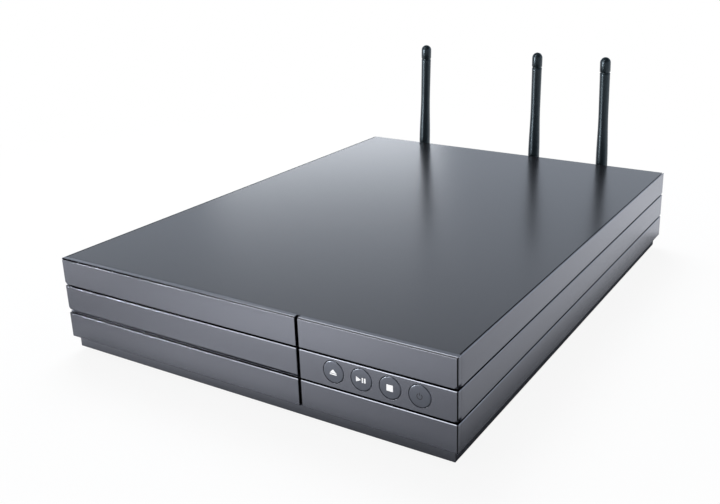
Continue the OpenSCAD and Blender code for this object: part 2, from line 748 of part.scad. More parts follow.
module loader_frame() color("#2a2b2d") place() difference() {
    union() {
        x0 = loader_x - frame_in - frame_wall;
        x1 = loader_x + frame_in + frame_wall;
        open_y0 = lift_y0 - 3;
        open_y1 = lift_y1 + 4;
        difference() {
            block([x0, x1], [frame_y0, frame_y1], [frame_z, frame_z + frame_t]);
            block([loader_x - lift_half - 6, loader_x + lift_half + 6], [open_y0, open_y1],
                [frame_z - cut, frame_z + frame_t + cut]);
            block([loader_x - tray_half, loader_x + tray_half], [open_y0, open_y0 + 4],
                [frame_z - cut, frame_z + frame_t + cut]);
        }
        // Hooks over the flange of the cam
        for (x = cam_hook_x) {
            y = gear_y + wheel_r + 0.9;
            block([loader_x + x - 4, loader_x + x + 4], [y, y + 1.2],
                [frame_z, cam_flange_z + 2.4]);
            block([loader_x + x - 4, loader_x + x + 4], [y, y + 3.4],
                [cam_flange_z + 1.45, cam_flange_z + 2.4]);
        }
        for (side = [-1, 1]) {
            wall = side < 0 ? [x0, x0 + frame_wall] : [x1 - frame_wall, x1];
            rail = side < 0 ? [x0 + 1, loader_x - tray_half + rail_in - slide_gap]
                            : [loader_x + tray_half - rail_in + slide_gap, x1 - 1];
            block(wall, [frame_y0, frame_y1], [frame_z, frame_top]);
            block(rail, [frame_y0 + 3, frame_y1], [rail_z0, rail_z0 + rail_h]);
            // Bosses of the clamp bridge
            rod_z(loader_x + side * (frame_in + frame_wall + 1), disc_y, frame_z, frame_top, 3.4);
            // Bearing blocks of the lift frame
            block(side < 0 ? [loader_x - lift_half - 6.2, loader_x - lift_half - 0.4]
                           : [loader_x + lift_half + 0.4, loader_x + lift_half + 6.2],
                [pivot_y - 5, pivot_y + 5], [frame_z, pivot_z + 3]);
            // Ears over the posts of the pan
            for (y = ear_y)
                plate(side < 0 ? [x0 - ear_w + 0.5, x0 + 1] : [x1 - 1, x1 + ear_w - 0.5],
                    [y - 5, y + 5], [frame_z, frame_z + frame_t], 1);
        }
        block([x0, x1], [frame_y1 - 2, frame_y1], [frame_z, tray_z - 1]);
        rod_z(drive_x, gear_y, frame_z, pinion_z1 - 0.2, gear_post_r);
        rod_z(pulley_x, gear_y, frame_z, pulley_z1 - 0.2, gear_post_r);
    }
    for (side = [-1, 1]) {
        rod_z(loader_x + side * (frame_in + frame_wall + 1), disc_y, frame_top - 8,
            frame_top + cut, screw_r + screw_play);
        rod_x(loader_x + side * (lift_half + 3.3) - 3.3, loader_x + side * (lift_half + 3.3) + 3.3,
            pivot_y, pivot_z, pivot_r + running);
    }
    for (p = loader_posts)
        rod_z(p[0], p[1], frame_z - cut, frame_z + frame_t + cut, screw_r + screw_play);
    rod_z(motor_x, gear_y, frame_z - cut, frame_z + frame_t + cut, 3.4);
}

module drive_gear() color("#e6e3da") place() translate([drive_x, gear_y, 0]) difference() {
    union() {
        gear(train_module, wheel_teeth, wheel_z0, wheel_z1);
        translate([0, 0, wheel_z0]) cylinder(r = pinion_r - 2.4, h = pinion_z1 - wheel_z0);
        gear(rack_module, pinion_teeth, pinion_z0, pinion_z1);
    }
    translate([0, 0, wheel_z0 - cut])
        cylinder(r = gear_post_r + running, h = pinion_z1 - wheel_z0 + 2 * cut);
    // Lightening holes in the wheel
    for (a = [0:60:300]) rotate([0, 0, a + 30]) translate([wheel_r * 0.68, 0, wheel_z0 - cut])
        cylinder(r = 2.4, h = 4);
}

module pulley_gear() color("#e6e3da") place() translate([pulley_x, gear_y, 0]) difference() {
    union() {
        rotate([0, 0, 180 + 180 / small_teeth])
            gear(train_module, small_teeth, wheel_z0, wheel_z1 + 0.1);
        translate([0, 0, wheel_z1]) cylinder(r = small_r - train_module, h = pulley_z0 - wheel_z1 + 0.1);
        translate([0, 0, pulley_z0]) pulley(pulley_r, 1.8);
    }
    translate([0, 0, wheel_z0 - cut])
        cylinder(r = gear_post_r + running, h = pulley_z1 - wheel_z0 + 2 * cut);
}

// A pulley with two flanges, its groove as deep as given
module pulley(r, depth) {
    h = pulley_z1 - pulley_z0;
    rotate_extrude() polygon([[0, 0], [r + depth, 0], [r + depth, pulley_flange - 0.3],
        [r, pulley_flange], [r, h - pulley_flange],
        [r + depth, h - pulley_flange + 0.3], [r + depth, h], [0, h]]);
}

module motor_pulley() color("#c79a4b") place() translate([motor_x, gear_y, pulley_z0]) difference() {
    pulley(motor_pulley_r, 1.4);
    translate([0, 0, -cut]) cylinder(r = motor_shaft_r + running, h = pulley_z1 - pulley_z0 + 2 * cut);
}

motor_shaft_r = 0.8;

module drive_belt() color("#0e0e0e") place()
    translate([0, 0, (pulley_z0 + pulley_z1 - belt_h) / 2]) linear_extrude(belt_h) difference() {
        hull() belt_circles(1.4);
        hull() belt_circles(slide_gap);
    }

module belt_circles(extra) {
    translate([pulley_x, gear_y]) circle(r = pulley_r + extra, $fn = 64);
    translate([motor_x, gear_y]) circle(r = motor_pulley_r + extra, $fn = 32);
}

module loading_motor() color("#b4b6ba") place() {
    rod_z(motor_x, gear_y, frame_z - 13.3, frame_z, 10);
    rod_z(motor_x, gear_y, frame_z - 0.1, frame_z + frame_t + 0.4, 3);
    rod_z(motor_x, gear_y, frame_z, pulley_z1 + 0.6, motor_shaft_r);
    rod_z(motor_x, gear_y, frame_z - 14.7, frame_z - 13.2, 2.4);
}

// Sliding plate whose sloped slots lower the front of the lift frame
module lift_cam() color("#d9d7cf") place() difference() {
    union() {
        block([loader_x - 61, loader_x + 37.5], [cam_y, cam_y + cam_t],
            [pivot_z - lift_drop - 3.4, pivot_z + 2.9]);
        block([loader_x - 61, loader_x + 37.5], [gear_y + wheel_r + 2.4, cam_y + 0.1],
            [cam_flange_z, cam_flange_z + 1.2]);
    }
    for (x = cam_pin_x) along_y(cam_y - cut, cam_y + cam_t + cut) hull() {
        translate([loader_x + x, pivot_z]) circle(r = cam_pin_r + 0.2, $fn = 32);
        translate([loader_x + x - cam_travel, pivot_z - lift_drop])
            circle(r = cam_pin_r + 0.2, $fn = 32);
    }
}

cam_flange_z = frame_z + frame_t + 0.25;
cam_hook_x = [-8, 42];

module lift_frame() color("#3a3b3e") place() difference() {
    union() {
        plate([loader_x - lift_half, loader_x + lift_half], [lift_y0, lift_y1],
            [lift_z, lift_z + lift_t], 3);
        rod_x(loader_x - lift_half - 5.5, loader_x + lift_half + 5.5, pivot_y, pivot_z, pivot_r);
        // Pins in the slots of the cam
        for (x = cam_pin_x) rod_y(loader_x + x, pivot_z, cam_y - 0.3, lift_y0 + 0.1, cam_pin_r);
    }
    plate([loader_x - lift_open, loader_x + lift_open], [lift_y0 + 6, lift_y1 - 6],
        [lift_z - cut, lift_z + lift_t + cut], 3);
    for (x = [-grommet_x, grommet_x], y = grommet_y)
        rod_z(loader_x + x, y, lift_z - cut, lift_z + lift_t + cut, 2.2);
}

module damper_grommets() color("#4b4238") place() for (x = [-grommet_x, grommet_x], y = grommet_y)
    translate([loader_x + x, y, 0]) rotate_extrude() polygon([
        [0, lift_z - 0.6], [3, lift_z - 0.6], [3, lift_z], [2.1, lift_z],
        [2.1, lift_z + lift_t], [3.6, lift_z + lift_t], [3, (lift_z + lift_t + chassis_z) / 2],
        [3.6, chassis_z], [1.9, chassis_z], [1.9, chassis_top],
        [3, chassis_top], [2.6, chassis_top + 0.7], [0, chassis_top + 0.7]]);

module traverse_chassis() color("#9ea1a6") place() difference() {
    union() {
        plate([loader_x - 44.5, loader_x + 44.5], [chassis_y0, chassis_y1],
            [chassis_z, chassis_top], 4);
        // Holders of the guide rods
        for (x = [-rod_x, rod_x], y = [rod_y0, rod_y1 - 4])
            block([loader_x + x - 2.9, loader_x + x + 2.9], [y, y + 4],
                [rod_z - 2.6, chassis_z + 0.1]);
        // Plates that carry the lead screw and its motor
        for (y = [rod_y0, rod_y1 - 2])
            block([loader_x + screw_x - 2.6, loader_x + screw_x + 2.6], [y, y + 2],
                [rod_z - 2.6, chassis_z + 0.1]);
    }
    block([loader_x + screw_x - sled_motor_r - fit, loader_x + screw_x + sled_motor_r + fit],
        [rod_y1, chassis_y1 + cut], [chassis_z - cut, chassis_top + cut]);
    block([loader_x - 30.5, loader_x + 30.5], [rod_y0 + 4, rod_y1 - 4],
        [chassis_z - cut, chassis_top + cut]);
    for (x = [-rod_x, rod_x]) rod_y(loader_x + x, rod_z, rod_y0 - cut, rod_y1 + cut, rod_r + 0.05);
    rod_y(loader_x + screw_x, rod_z, rod_y0 - cut, rod_y1 + cut, 0.9 + running);
    rod_z(loader_x, disc_y, chassis_z - cut, chassis_top + cut, 4.1);
    for (x = [-grommet_x, grommet_x], y = grommet_y)
        rod_z(loader_x + x, y, chassis_z - cut, chassis_top + cut, 2);
}

module spindle_motor() color("#7b7e84") place() translate([loader_x, disc_y, 0]) {
    difference() {
        union() {
            block([-13, 13], [-12, 8], [chassis_top, chassis_top + 0.6]);
            translate([0, 0, chassis_top]) cylinder(r = 10, h = 3);
            translate([0, 0, chassis_z - 1]) cylinder(r = 4, h = chassis_t + 5);
        }
        translate([0, 0, chassis_z]) cylinder(r = spindle_r + running, h = 10);
    }
}

spindle_r = 1;

module turntable() color("#55585d") place() translate([loader_x, disc_y, 0]) rotate_extrude()
    polygon([
        [0, chassis_z + 0.3], [spindle_r, chassis_z + 0.3], [spindle_r, chassis_top + 4.2],
        [10.6, chassis_top + 4.2], [10.6, chassis_top + 1.1], [12, chassis_top + 1.1],
        [12, seat_z - 1.6], [turntable_r, seat_z - 1.6], [turntable_r, seat_z + 0.9],
        [7.4, seat_z + 0.9], [7.4, seat_z + 1.6], [6, spindle_top], [0, spindle_top]]);

module pickup_sled() color("#2e3338") place() difference() {
    union() {
        // Optical block between the rods
        plate([loader_x - 15, loader_x + 15], [sled_y0, sled_y0 + sled_len],
            [rod_z - 2.2, tray_z + 1.6], 2);
        // Arms with the bushings
        for (side = [-1, 1], y = [sled_y0, sled_y0 + sled_len - 6])
            rod_y(loader_x + side * rod_x, rod_z, y, y + 6, 2.5);
        block([loader_x - rod_x, loader_x - 14], [sled_y0 + 2, sled_y0 + sled_len - 2],
            [rod_z + 1.7, rod_z + 3]);
        block([loader_x + 14, loader_x + rod_x], [sled_y0 + 2, sled_y0 + sled_len - 2],
            [rod_z + 1.7, rod_z + 3]);
        for (side = [-1, 1], y = [sled_y0, sled_y0 + sled_len - 6])
            block([loader_x + side * rod_x - 2, loader_x + side * rod_x + 2], [y, y + 6],
                [rod_z + 1, rod_z + 3]);
        // Follower beside the lead screw
        block([loader_x + 14, loader_x + screw_x - lead_r - 0.25],
            [sled_y0 + 9, sled_y0 + 15], [rod_z - 1, rod_z + 2.4]);
    }
    for (side = [-1, 1])
        rod_y(loader_x + side * rod_x, rod_z, sled_y0 - cut, sled_y0 + sled_len + cut, rod_r + running);
    rod_z(loader_x, lens_y, tray_z - 1, tray_z + 3, 4.6);
}

module pickup_lens() color("#9fb6cf") place() translate([loader_x, lens_y, 0]) rotate_extrude()
    polygon([[0, tray_z - 1], [4.4, tray_z - 1], [4.4, tray_z + 1.9], [3.2, tray_z + 2.6],
        [2.6, tray_z + 2.6], [1.6, tray_z + 3.1], [0, tray_z + 3.3]]);

module guide_rods() color("#c9ccd1") place() for (x = [-rod_x, rod_x])
    rod_y(loader_x + x, rod_z, rod_y0 + 0.3, rod_y1 - 0.3, rod_r);

// Thread shown as a row of shallow grooves
module lead_screw() color("#b9bcc2") place() translate([loader_x + screw_x, rod_y0 + 2.2, rod_z])
    rotate([-90, 0, 0]) {
        len = rod_y1 - rod_y0 - 4.4;
        turns = floor((len - 2) / 3);
        rotate_extrude() polygon(concat([[0, 0], [lead_r, 0]],
            [for (i = [0:turns - 1]) each [[lead_r, 1 + 3 * i], [lead_r - 0.35, 1.8 + 3 * i],
                [lead_r - 0.35, 2.4 + 3 * i], [lead_r, 3.2 + 3 * i]]],
            [[lead_r, len], [0, len]]));
        translate([0, 0, -2]) cylinder(r = 0.9, h = len + 8);
    }

module sled_motor() color("#a9abb0") place() difference() {
    rod_y(loader_x + screw_x, rod_z, rod_y1 + 0.1, rod_y1 + 11, sled_motor_r);
    rod_y(loader_x + screw_x, rod_z, rod_y1 - cut, rod_y1 + 5, 0.9 + running);
}

module clamp_bridge() color("#8f9297") place() difference() {
    union() {
        x = frame_in + frame_wall + 1;
        block([loader_x - x, loader_x + x], [disc_y - bridge_w / 2, disc_y + bridge_w / 2],
            [frame_top, frame_top + bridge_t]);
        for (side = [-1, 1]) {
            rod_z(loader_x + side * x, disc_y, frame_top, frame_top + bridge_t, 4.2);
            // Folded edges that stiffen the strip
            block([loader_x - x + 10, loader_x + x - 10],
                side < 0 ? [disc_y - bridge_w / 2, disc_y - bridge_w / 2 + bridge_t]
                         : [disc_y + bridge_w / 2 - bridge_t, disc_y + bridge_w / 2],
                [frame_top, frame_top + 4]);
        }
    }
    rod_z(loader_x, disc_y, frame_top - cut, frame_top + bridge_t + cut, clamper_neck_r + 0.5);
    for (side = [-1, 1])
        rod_z(loader_x + side * (frame_in + frame_wall + 1), disc_y, frame_top - cut,
            frame_top + bridge_t + cut, screw_r + screw_play);
}

module clamper() color("#202124") place() translate([loader_x, disc_y, 0]) rotate_extrude() polygon([
    [0, clamper_z], [clamper_r, clamper_z], [clamper_r, clamper_z + clamper_t],
    [clamper_neck_r, clamper_z + clamper_t], [clamper_neck_r, frame_top + bridge_t + 0.25],
    [11, frame_top + bridge_t + 0.25], [10.4, frame_top + bridge_t + 1.6],
    [0, frame_top + bridge_t + 1.6]]);

// ---------- electronics ----------

module main_board() color("#1d5733") place() difference() {
    block([main_x0, main_x1], [main_y0, main_y1], [board_z, board_top]);
    for (p = main_posts) rod_z(p[0], p[1], board_z - cut, board_top + cut, screw_r + screw_play);
}

// Each chip: place on the board, width, depth, height
chips = [[34, 44, 14, 14, 1.2], [62, 34, 12, 20, 1.2], [84, 34, 12, 20, 1.2],
    [112, 64, 20, 20, 1.6], [46, 66, 10, 10, 1], [46, 86, 9, 7, 1]];

module main_chips() color("#141416") place() for (c = chips)
    translate([main_x0 + c[0], main_y1 - c[1], board_top])
        block([-c[2] / 2, c[2] / 2], [-c[3] / 2, c[3] / 2], [0, c[4]]);

// The cooled processor sits beside the chips, under the finned block
sink_x = main_x0 + 78;
sink_y = main_y1 - 72;
sink_half = 19;
module heat_sink() color("#a7aab0") place() translate([sink_x, sink_y, board_top]) {
    block([-12, 12], [-12, 12], [0, 2]);
    block([-sink_half, sink_half], [-sink_half, sink_half], [2, 4.5]);
    for (i = [0:8]) {
        x = -sink_half + i * (2 * sink_half - 1.2) / 8;
        block([x, x + 1.2], [-sink_half, sink_half], [4.4, 16]);
    }
}

cap_places = [[16, 48], [16, 59], [16, 70], [136, 50], [147, 50], [136, 61], [147, 61], [140, 86]];
module main_capacitors() color("#2c3e66") place() for (p = cap_places)
    translate([main_x0 + p[0], main_y1 - p[1], board_top]) can(4, 11);

// An upright electrolytic can with its rolled-in groove
module can(r, h) rotate_extrude() polygon([[0, 0], [r, 0], [r, 1.2], [r - 0.4, 1.7], [r, 2.2],
    [r, h - 0.5], [r - 0.5, h], [0, h]]);

card_x = main_x0 + 20;
card_y = main_y0 + 6;
card_z = board_top + 5;
module wireless_card() color("#24603a") place() {
    block([card_x - 15, card_x + 15], [card_y, card_y + 22], [card_z, card_z + 1]);
    block([card_x - 12, card_x + 12], [card_y + 3, card_y + 17], [card_z + 0.9, card_z + 3]);
    block([card_x - 15, card_x + 15], [card_y + 19, card_y + 24], [board_top, card_z + 2.6]);
    for (x = [-11, 0, 11]) rod_z(card_x + x, card_y + 1.6, card_z + 0.9, card_z + 2, 1.1);
    for (x = [-13, 13]) rod_z(card_x + x, card_y + 3, board_top, card_z + 0.1, 1.6);
}

lead_rad = 0.7;
module antenna_leads() color("#1a1a1a") place() for (i = [0:2]) {
    x0 = card_x - 11 + 11 * i;
    high = antenna_z + 9 + 2.4 * i;
    lead([[x0, card_y + 1.6, card_z + 2], [x0, card_y + 1.6, high],
        [antenna_xs[i], rear_in - 22 - 4 * i, high],
        [antenna_xs[i], rear_in - 14, antenna_z + 4], [antenna_xs[i], rear_in - 10, antenna_z],
        [antenna_xs[i], rear_in - 7, antenna_z]], lead_rad);
}

module power_board() color("#8a6d3b") place() difference() {
    block([power_x0, power_x1], [power_y0, power_y1], [board_z, board_top]);
    for (p = power_posts) rod_z(p[0], p[1], board_z - cut, board_top + cut, screw_r + screw_play);
}

transformer_x = power_x0 + 34;
transformer_y = power_y0 + 66;
module transformer() color("#c8a23a") place() translate([transformer_x, transformer_y, board_top]) {
    block([-15, 15], [-11, 11], [0, 5]);
    block([-14, 14], [-9, 9], [4.9, 17]);
    block([-15, 15], [-11, 11], [16.9, 21]);
    block([-6, 6], [-13, 13], [0, 24]);
}

module power_capacitors() color("#20252d") place() {
    translate([power_x0 + 18, power_y1 - 60, board_top]) can(9, 24);
    for (p = [[18, 34], [30, 34], [44, 34], [18, 22]])
        translate([power_x0 + p[0], power_y0 + p[1], board_top]) can(5, 20);
}

module power_coils() color("#8c5a2b") place() {
    // Ring choke on its edge foot
    translate([power_x0 + 54, power_y1 - 62, board_top]) {
        rotate_extrude() translate([8, 4]) circle(r = 4, $fn = 32);
        cylinder(r = 4.6, h = 2);
    }
    // Upright heat spreader with its switching transistor
    translate([power_x0 + 60, power_y0 + 66, board_top]) {
        block([-1.5, 1.5], [-18, 18], [0, 24]);
        block([-5.6, -1.4], [-5, 5], [2, 17]);
    }
    // Fuse between its clips
    translate([power_x0 + 16, power_y1 - 30, board_top]) {
        for (y = [-11, 7]) block([-3.4, 3.4], [y, y + 4], [0, 3]);
        rod_y(0, 4.4, -12, 12, 2.6);
    }
}

module power_inlet() color("#161617") place() translate([inlet_x, 0, inlet_z]) difference() {
    union() {
        block([-10.5, 10.5], [rear_out - 22, rear_out + 1], [-7, 7]);
        block([-12.5, 12.5], [rear_out, rear_out + 1.6], [-8.4, 8.4]);
        block([-8, 8], [rear_out - 22, rear_out - 16], [-8, 0]);
    }
    // Figure-eight recess with its two contact pins
    difference() {
        union() {
            for (x = [-4.6, 4.6]) rod_y(x, 0, rear_out - 12, rear_out + 3, 4.8);
            block([-4.6, 4.6], [rear_out - 12, rear_out + 3], [-3.4, 3.4]);
        }
        for (x = [-4.3, 4.3]) rod_y(x, 0, rear_out - 13, rear_out - 0.6, 1.2);
    }
}

module hdmi_socket() color("#b7b9bd") place() translate([hdmi_x, 0, board_top]) difference() {
    block([-7.5, 7.5], [rear_out - 11, rear_out + 0.6], [0, 6.4]);
    difference() {
        along_y(rear_out - 9, rear_out + 2) polygon([[-7, 5.7], [-7, 3], [-5.4, 1.2], [5.4, 1.2],
            [7, 3], [7, 5.7]]);
        block([-5.6, 5.6], [rear_out - 10, rear_out - 0.8], [3, 4]);
    }
}

module network_jack() color("#a4a7ac") place() translate([network_x, 0, board_top]) difference() {
    block([-7.8, 7.8], [rear_out - 21, rear_out + 0.6], [0, 13.5]);
    block([-5.9, 5.9], [rear_out - 13, rear_out + 2], [2.6, 10.2]);
    block([-3.1, 3.1], [rear_out - 13, rear_out + 2], [1.2, 4]);
}

module phono_jacks() color("#d8b35c") place() for (x = jack_x) translate([x, 0, 0]) {
    difference() {
        union() {
            block([-6, 6], [rear_out - 14, rear_in - 0.2], [board_top, jack_z + 6]);
            rod_y(0, jack_z, rear_in - 1, rear_out + jack_collar_t, jack_r + jack_collar);
            rod_y(0, jack_z, rear_in - 1, rear_out + jack_len, jack_r);
        }
        rod_y(0, jack_z, rear_in - 4, rear_out + jack_len + cut, 1.65);
    }
}

module optical_output() color("#1b1b1d") place() translate([optical_x, 0, board_top]) difference() {
    block([-4.9, 4.9], [rear_out - 12, rear_out + 0.6], [0, 10.6]);
    block([-3.4, 3.4], [rear_out - 0.8, rear_out + 2], [2.2, 8.8]);
    rod_y(0, 5.5, rear_out - 8, rear_out + 2, 2.3);
}

module inner_screws() color("#b5b7bb") place() {
    for (p = concat(main_posts, power_posts)) screw_down(p[0], p[1], board_top, 6);
    for (p = loader_posts) screw_down(p[0], p[1], frame_z + frame_t, 7);
    for (side = [-1, 1])
        screw_down(loader_x + side * (frame_in + frame_wall + 1), disc_y, frame_top + bridge_t, 6);
    for (x = button_posts) {
        y = board_y + board_t;
        rod_y(x, button_z, y, y + screw_head_h, screw_head_r);
        rod_y(x, button_z, y - 5, y + 0.1, screw_r);
    }
}

// ---------- antennas ----------

module antenna_sockets() color("#c7a45a") place() for (x = antenna_xs) {
    rod_y(x, antenna_z, rear_in - 7, rear_out + nut_t + 3, socket_r);
    translate([x, rear_out + nut_t, antenna_z]) rotate([90, 0, 0])
        cylinder(r = 4.6, h = nut_t, $fn = 6);
    translate([x, rear_in, antenna_z]) rotate([90, 0, 0]) cylinder(r = 4.6, h = 2, $fn = 6);
}

module at_hinge(i) translate([antenna_xs[i], antenna_y, antenna_z])
    rotate([0, antenna_lean[i], 0]) children();

// Swivel base: a collar on the socket and two ears beside the rod's tongue
module antenna_base(i) color("#1d1e20") place() at_hinge(i) {
    back = rear_out + nut_t + 0.25 - antenna_y;
    ear_half = antenna_r;
    difference() {
        union() {
            rod_y(0, 0, back, -5.1, 5);
            block([-ear_half, ear_half], [-5.6, 0], [-knuckle_r, knuckle_r]);
            rod_x(-ear_half, ear_half, 0, 0, knuckle_r);
        }
        block([-tongue_half - 0.2, tongue_half + 0.2], [-4.9, 6], [-6, 6]);
        rod_x(-ear_half - cut, ear_half + cut, 0, 0, trunnion_r + running);
        rod_y(0, 0, back - cut, rear_out + nut_t + 3.3 - antenna_y, socket_r + running);
    }
}

// Outline of the rod: thick near the hinge, a smooth neck, a ring groove and a round cap
rod_start = 6;
taper_start = 24;
taper_len = 40;
cap_len = 11.5;
cap_r = antenna_neck_r + 0.3;
function blend(t) = (1 - cos(180 * t)) / 2;
function rod_outline() = concat(
    [[0, rod_start], [antenna_r, rod_start]],
    [for (k = [0:8]) [antenna_r + (antenna_neck_r - antenna_r) * blend(k / 8),
        taper_start + taper_len * k / 8]],
    [[antenna_neck_r + 0.2, antenna_len - cap_len - 1.2],
     [antenna_neck_r - 0.25, antenna_len - cap_len - 0.9],
     [antenna_neck_r - 0.25, antenna_len - cap_len - 0.3],
     [cap_r, antenna_len - cap_len]],
    [for (k = [0:6]) [cap_r * cos(15 * k), antenna_len - cap_r + cap_r * sin(15 * k)]]
);

module antenna_rod(i) color("#1a1b1d") place() at_hinge(i) {
    rotate_extrude() polygon(rod_outline());
    rod_x(-tongue_half, tongue_half, 0, 0, knuckle_r - 0.2);
    block([-tongue_half, tongue_half], [-antenna_r + 0.6, antenna_r - 0.6], [0, rod_start + 1]);
    rod_x(-antenna_r + 0.1, antenna_r - 0.1, 0, 0, trunnion_r);
}

module antenna_left_base() antenna_base(0);
module antenna_middle_base() antenna_base(1);
module antenna_right_base() antenna_base(2);
module antenna_left_rod() antenna_rod(0);
module antenna_middle_rod() antenna_rod(1);
module antenna_right_rod() antenna_rod(2);

base_pan();
side_panel_left();
side_panel_right();
front_bezel();
top_cover();
rear_panel();
rubber_feet();
cover_screws();
button_eject();
button_play();
button_stop();
button_power();
button_board();
push_switches();
infrared_sensor();
button_ribbon();
tray_front();
disc_tray();
loader_frame();
drive_gear();
pulley_gear();
drive_belt();
loading_motor();
motor_pulley();
lift_cam();
lift_frame();
damper_grommets();
traverse_chassis();
spindle_motor();
turntable();
pickup_sled();
pickup_lens();
guide_rods();
lead_screw();
sled_motor();
clamp_bridge();
clamper();
main_board();
main_chips();
heat_sink();
main_capacitors();
wireless_card();
antenna_leads();
power_board();
transformer();
power_capacitors();
power_coils();
power_inlet();
hdmi_socket();
network_jack();
phono_jacks();
optical_output();
inner_screws();
antenna_sockets();
antenna_left_base();
antenna_middle_base();
antenna_right_base();
antenna_left_rod();
antenna_middle_rod();
antenna_right_rod();
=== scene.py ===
import json
import math

import bmesh
import bpy
from bpy.props import FloatProperty, FloatVectorProperty, PointerProperty
from bpy.types import Operator, Panel, PropertyGroup
from mathutils import Matrix, Vector

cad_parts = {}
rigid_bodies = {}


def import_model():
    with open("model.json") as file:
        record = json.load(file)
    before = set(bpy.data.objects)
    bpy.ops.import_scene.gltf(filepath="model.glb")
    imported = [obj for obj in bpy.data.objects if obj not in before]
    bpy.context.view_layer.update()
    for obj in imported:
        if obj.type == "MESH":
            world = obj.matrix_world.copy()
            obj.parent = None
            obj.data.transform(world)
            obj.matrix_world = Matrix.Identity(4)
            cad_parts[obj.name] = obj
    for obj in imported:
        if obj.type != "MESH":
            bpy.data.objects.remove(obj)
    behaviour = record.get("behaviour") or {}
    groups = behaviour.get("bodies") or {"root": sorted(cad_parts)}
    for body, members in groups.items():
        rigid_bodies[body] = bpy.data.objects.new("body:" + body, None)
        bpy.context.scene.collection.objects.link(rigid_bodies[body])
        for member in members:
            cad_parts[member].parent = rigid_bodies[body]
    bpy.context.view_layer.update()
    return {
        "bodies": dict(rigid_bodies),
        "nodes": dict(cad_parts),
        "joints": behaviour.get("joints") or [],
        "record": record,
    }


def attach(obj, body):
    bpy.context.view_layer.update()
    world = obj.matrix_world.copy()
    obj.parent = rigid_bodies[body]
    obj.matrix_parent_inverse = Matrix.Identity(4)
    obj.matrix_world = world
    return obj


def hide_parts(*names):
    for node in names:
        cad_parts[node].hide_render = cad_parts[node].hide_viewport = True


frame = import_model()

bl_info = {
    "name": "Disc player looks",
    "version": (1, 0, 0),
    "blender": (4, 5, 0),
    "location": "3D View > Sidebar > Disc player",
    "description": "Dresses the frame of a slim disc player with skins, keys and aerials",
    "category": "Object",
}

MM = 0.001
# Points that are closer than this, in metres, become one: in a copied and in a new mesh
MERGE = 2e-6
MERGE_NEW = 1e-6
# Edges that turn by less than the first angle are dissolved and those that turn by more
# than the second are rounded, in degrees
FLAT = 0.5
SHARP = 26

# Places in the frame that the dressing follows. X is measured from the middle of the case,
# Y from its front face and Z from the floor, all in millimetres.

# Distance from the front face to the middle of the frame
MIDDLE = 182.9
# Half width and half depth of the case, and the height of the floor
CASE_HALF = (135, 183, 0)

# Rounding of the edges of the feet, the rear plate and the aerials' bases, in metres
FEET_EDGE = 0.0004
REAR_EDGE = 0.0002
BASE_EDGE = 0.0005

# Painted shade on the bands, near black with almost no gloss where shade falls: the two
# grooves, the upright gap, the joints of the front with the top and the sides, and in part the
# lips on top
GROOVE_SHADE_Z = ((26.08, 27.02), (43.98, 44.92))
GAP_SHADE_X = (40.3, 42.5)
FRONT_Y = (-1.0, 0.8)
TOP_JOINT_SHADE_Z = (61.18, 61.82)
SIDE_JOINT_SHADE_X = (134.2, 134.7)
LIP_SHADE_Z = (61.93, 62.1)
# Share of painted shade on the lips next to the joints, which dims their reflection of the sky
LIP_SHADE_SHARE = 0.75

# Middles of the push buttons and radius of their caps
KEY_X = (63.6, 80.45, 97.3, 114.15)
KEY_Z = 36.35
KEY_R = 6.14
# Way that the middle of a cap's face stands out of the front plane
KEY_OUT = 0.3
# Rounding at the rim of a cap, across its face and into its depth
KEY_RIM = (0.45, 0.42)
# Flange that holds a cap behind the bezel: radius, front and rear
FLANGE = (7.25, 6.0, 7.0)
# Stem that meets the switch: radius and rear end
STEM = (1.6, 9.9)

# Name, middle and lean in degrees of each aerial
AERIALS = (("left", -88.0, 1.9), ("middle", 20.0, 0.5), ("right", 81.0, -0.9))
AERIAL_Y = 361.4
AERIAL_Z = 38.0
# Hinge eye and hinge pin of a rod: radius and half length
HINGE_EYE = (4.4, 2.2)
HINGE_PIN = (1.6, 4.65)
# Neck between the eye and the rod: half depth, height and rounding
HINGE_NECK = (4.15, 7, 0.3)

# Name and colour of each phono jack's ring
JACKS = (
    ("audio_right", (0.55, 0.03, 0.03)), ("audio_left", (0.75, 0.75, 0.72)),
    ("picture", (0.75, 0.55, 0.04)), ("component_red", (0.55, 0.03, 0.03)),
    ("component_blue", (0.03, 0.1, 0.5)), ("component_green", (0.04, 0.36, 0.1)),
)
# First jack, distance from jack to jack, and the wider step between the two groups
JACK_X = -46.6
JACK_PITCH = 14
JACK_STEP = 5
JACK_GROUP = 3
JACK_Y = 351.4
JACK_Z = 21.9
# Outline of a ring: radius and height above the rear panel
JACK_RING = ((4.2, 0), (5.25, 0), (5.25, 0.22), (5.1, 0.3), (4.3, 0.3), (4.2, 0.22), (4.2, 0))

# Paint that mirrors more than plain plastic, with a slight blue in its gloss
BAND_SHINE = {
    "IOR": 3.0, "Specular_Tint": (0.89, 0.9, 1, 1), "Coat_Weight": 0.5, "Coat_Roughness": 0.2
}

# Studio lamps, in metres: name, place, aim, size, level, seen in gloss, lights matt faces
LAMPS = (
    ("top_lamp", (-0.75, 0.75, 1.7), (0, 0, 0), (1.2, 1.2), 8.0, False, True),
    ("back_lamp", (-1.6, 2.1, 0.54), (0, 0, 0.05), (0.85, 0.4), 2.4, True, True),
    ("front_lamp", (-1.2, -1.65, 0.45), (0, 0, 0.05), (0.9, 0.6), 3.5, True, True),
    ("rod_lamp", (-1.03, -1.16, 0.08), (0, 0.18, 0.1), (0.3, 0.14), 110.0, True, False),
    ("edge_lamp", (-0.8, -1.0, 1.55), (0, 0, 0.05), (0.8, 0.8), 5.0, True, False),
)
LAMP_COLOR = (0.93, 0.96, 1)

# Colour of the room in reflections. Its level falls from the first to the second value
# where the direction's Z plus the slope times its Y runs through the span.
ROOM_COLOR = (0.79, 0.87, 1)
ROOM_LEVELS = (1.0, 0.1)
ROOM_SPAN = (0.23, 0.41)
ROOM_SLOPE = -0.3
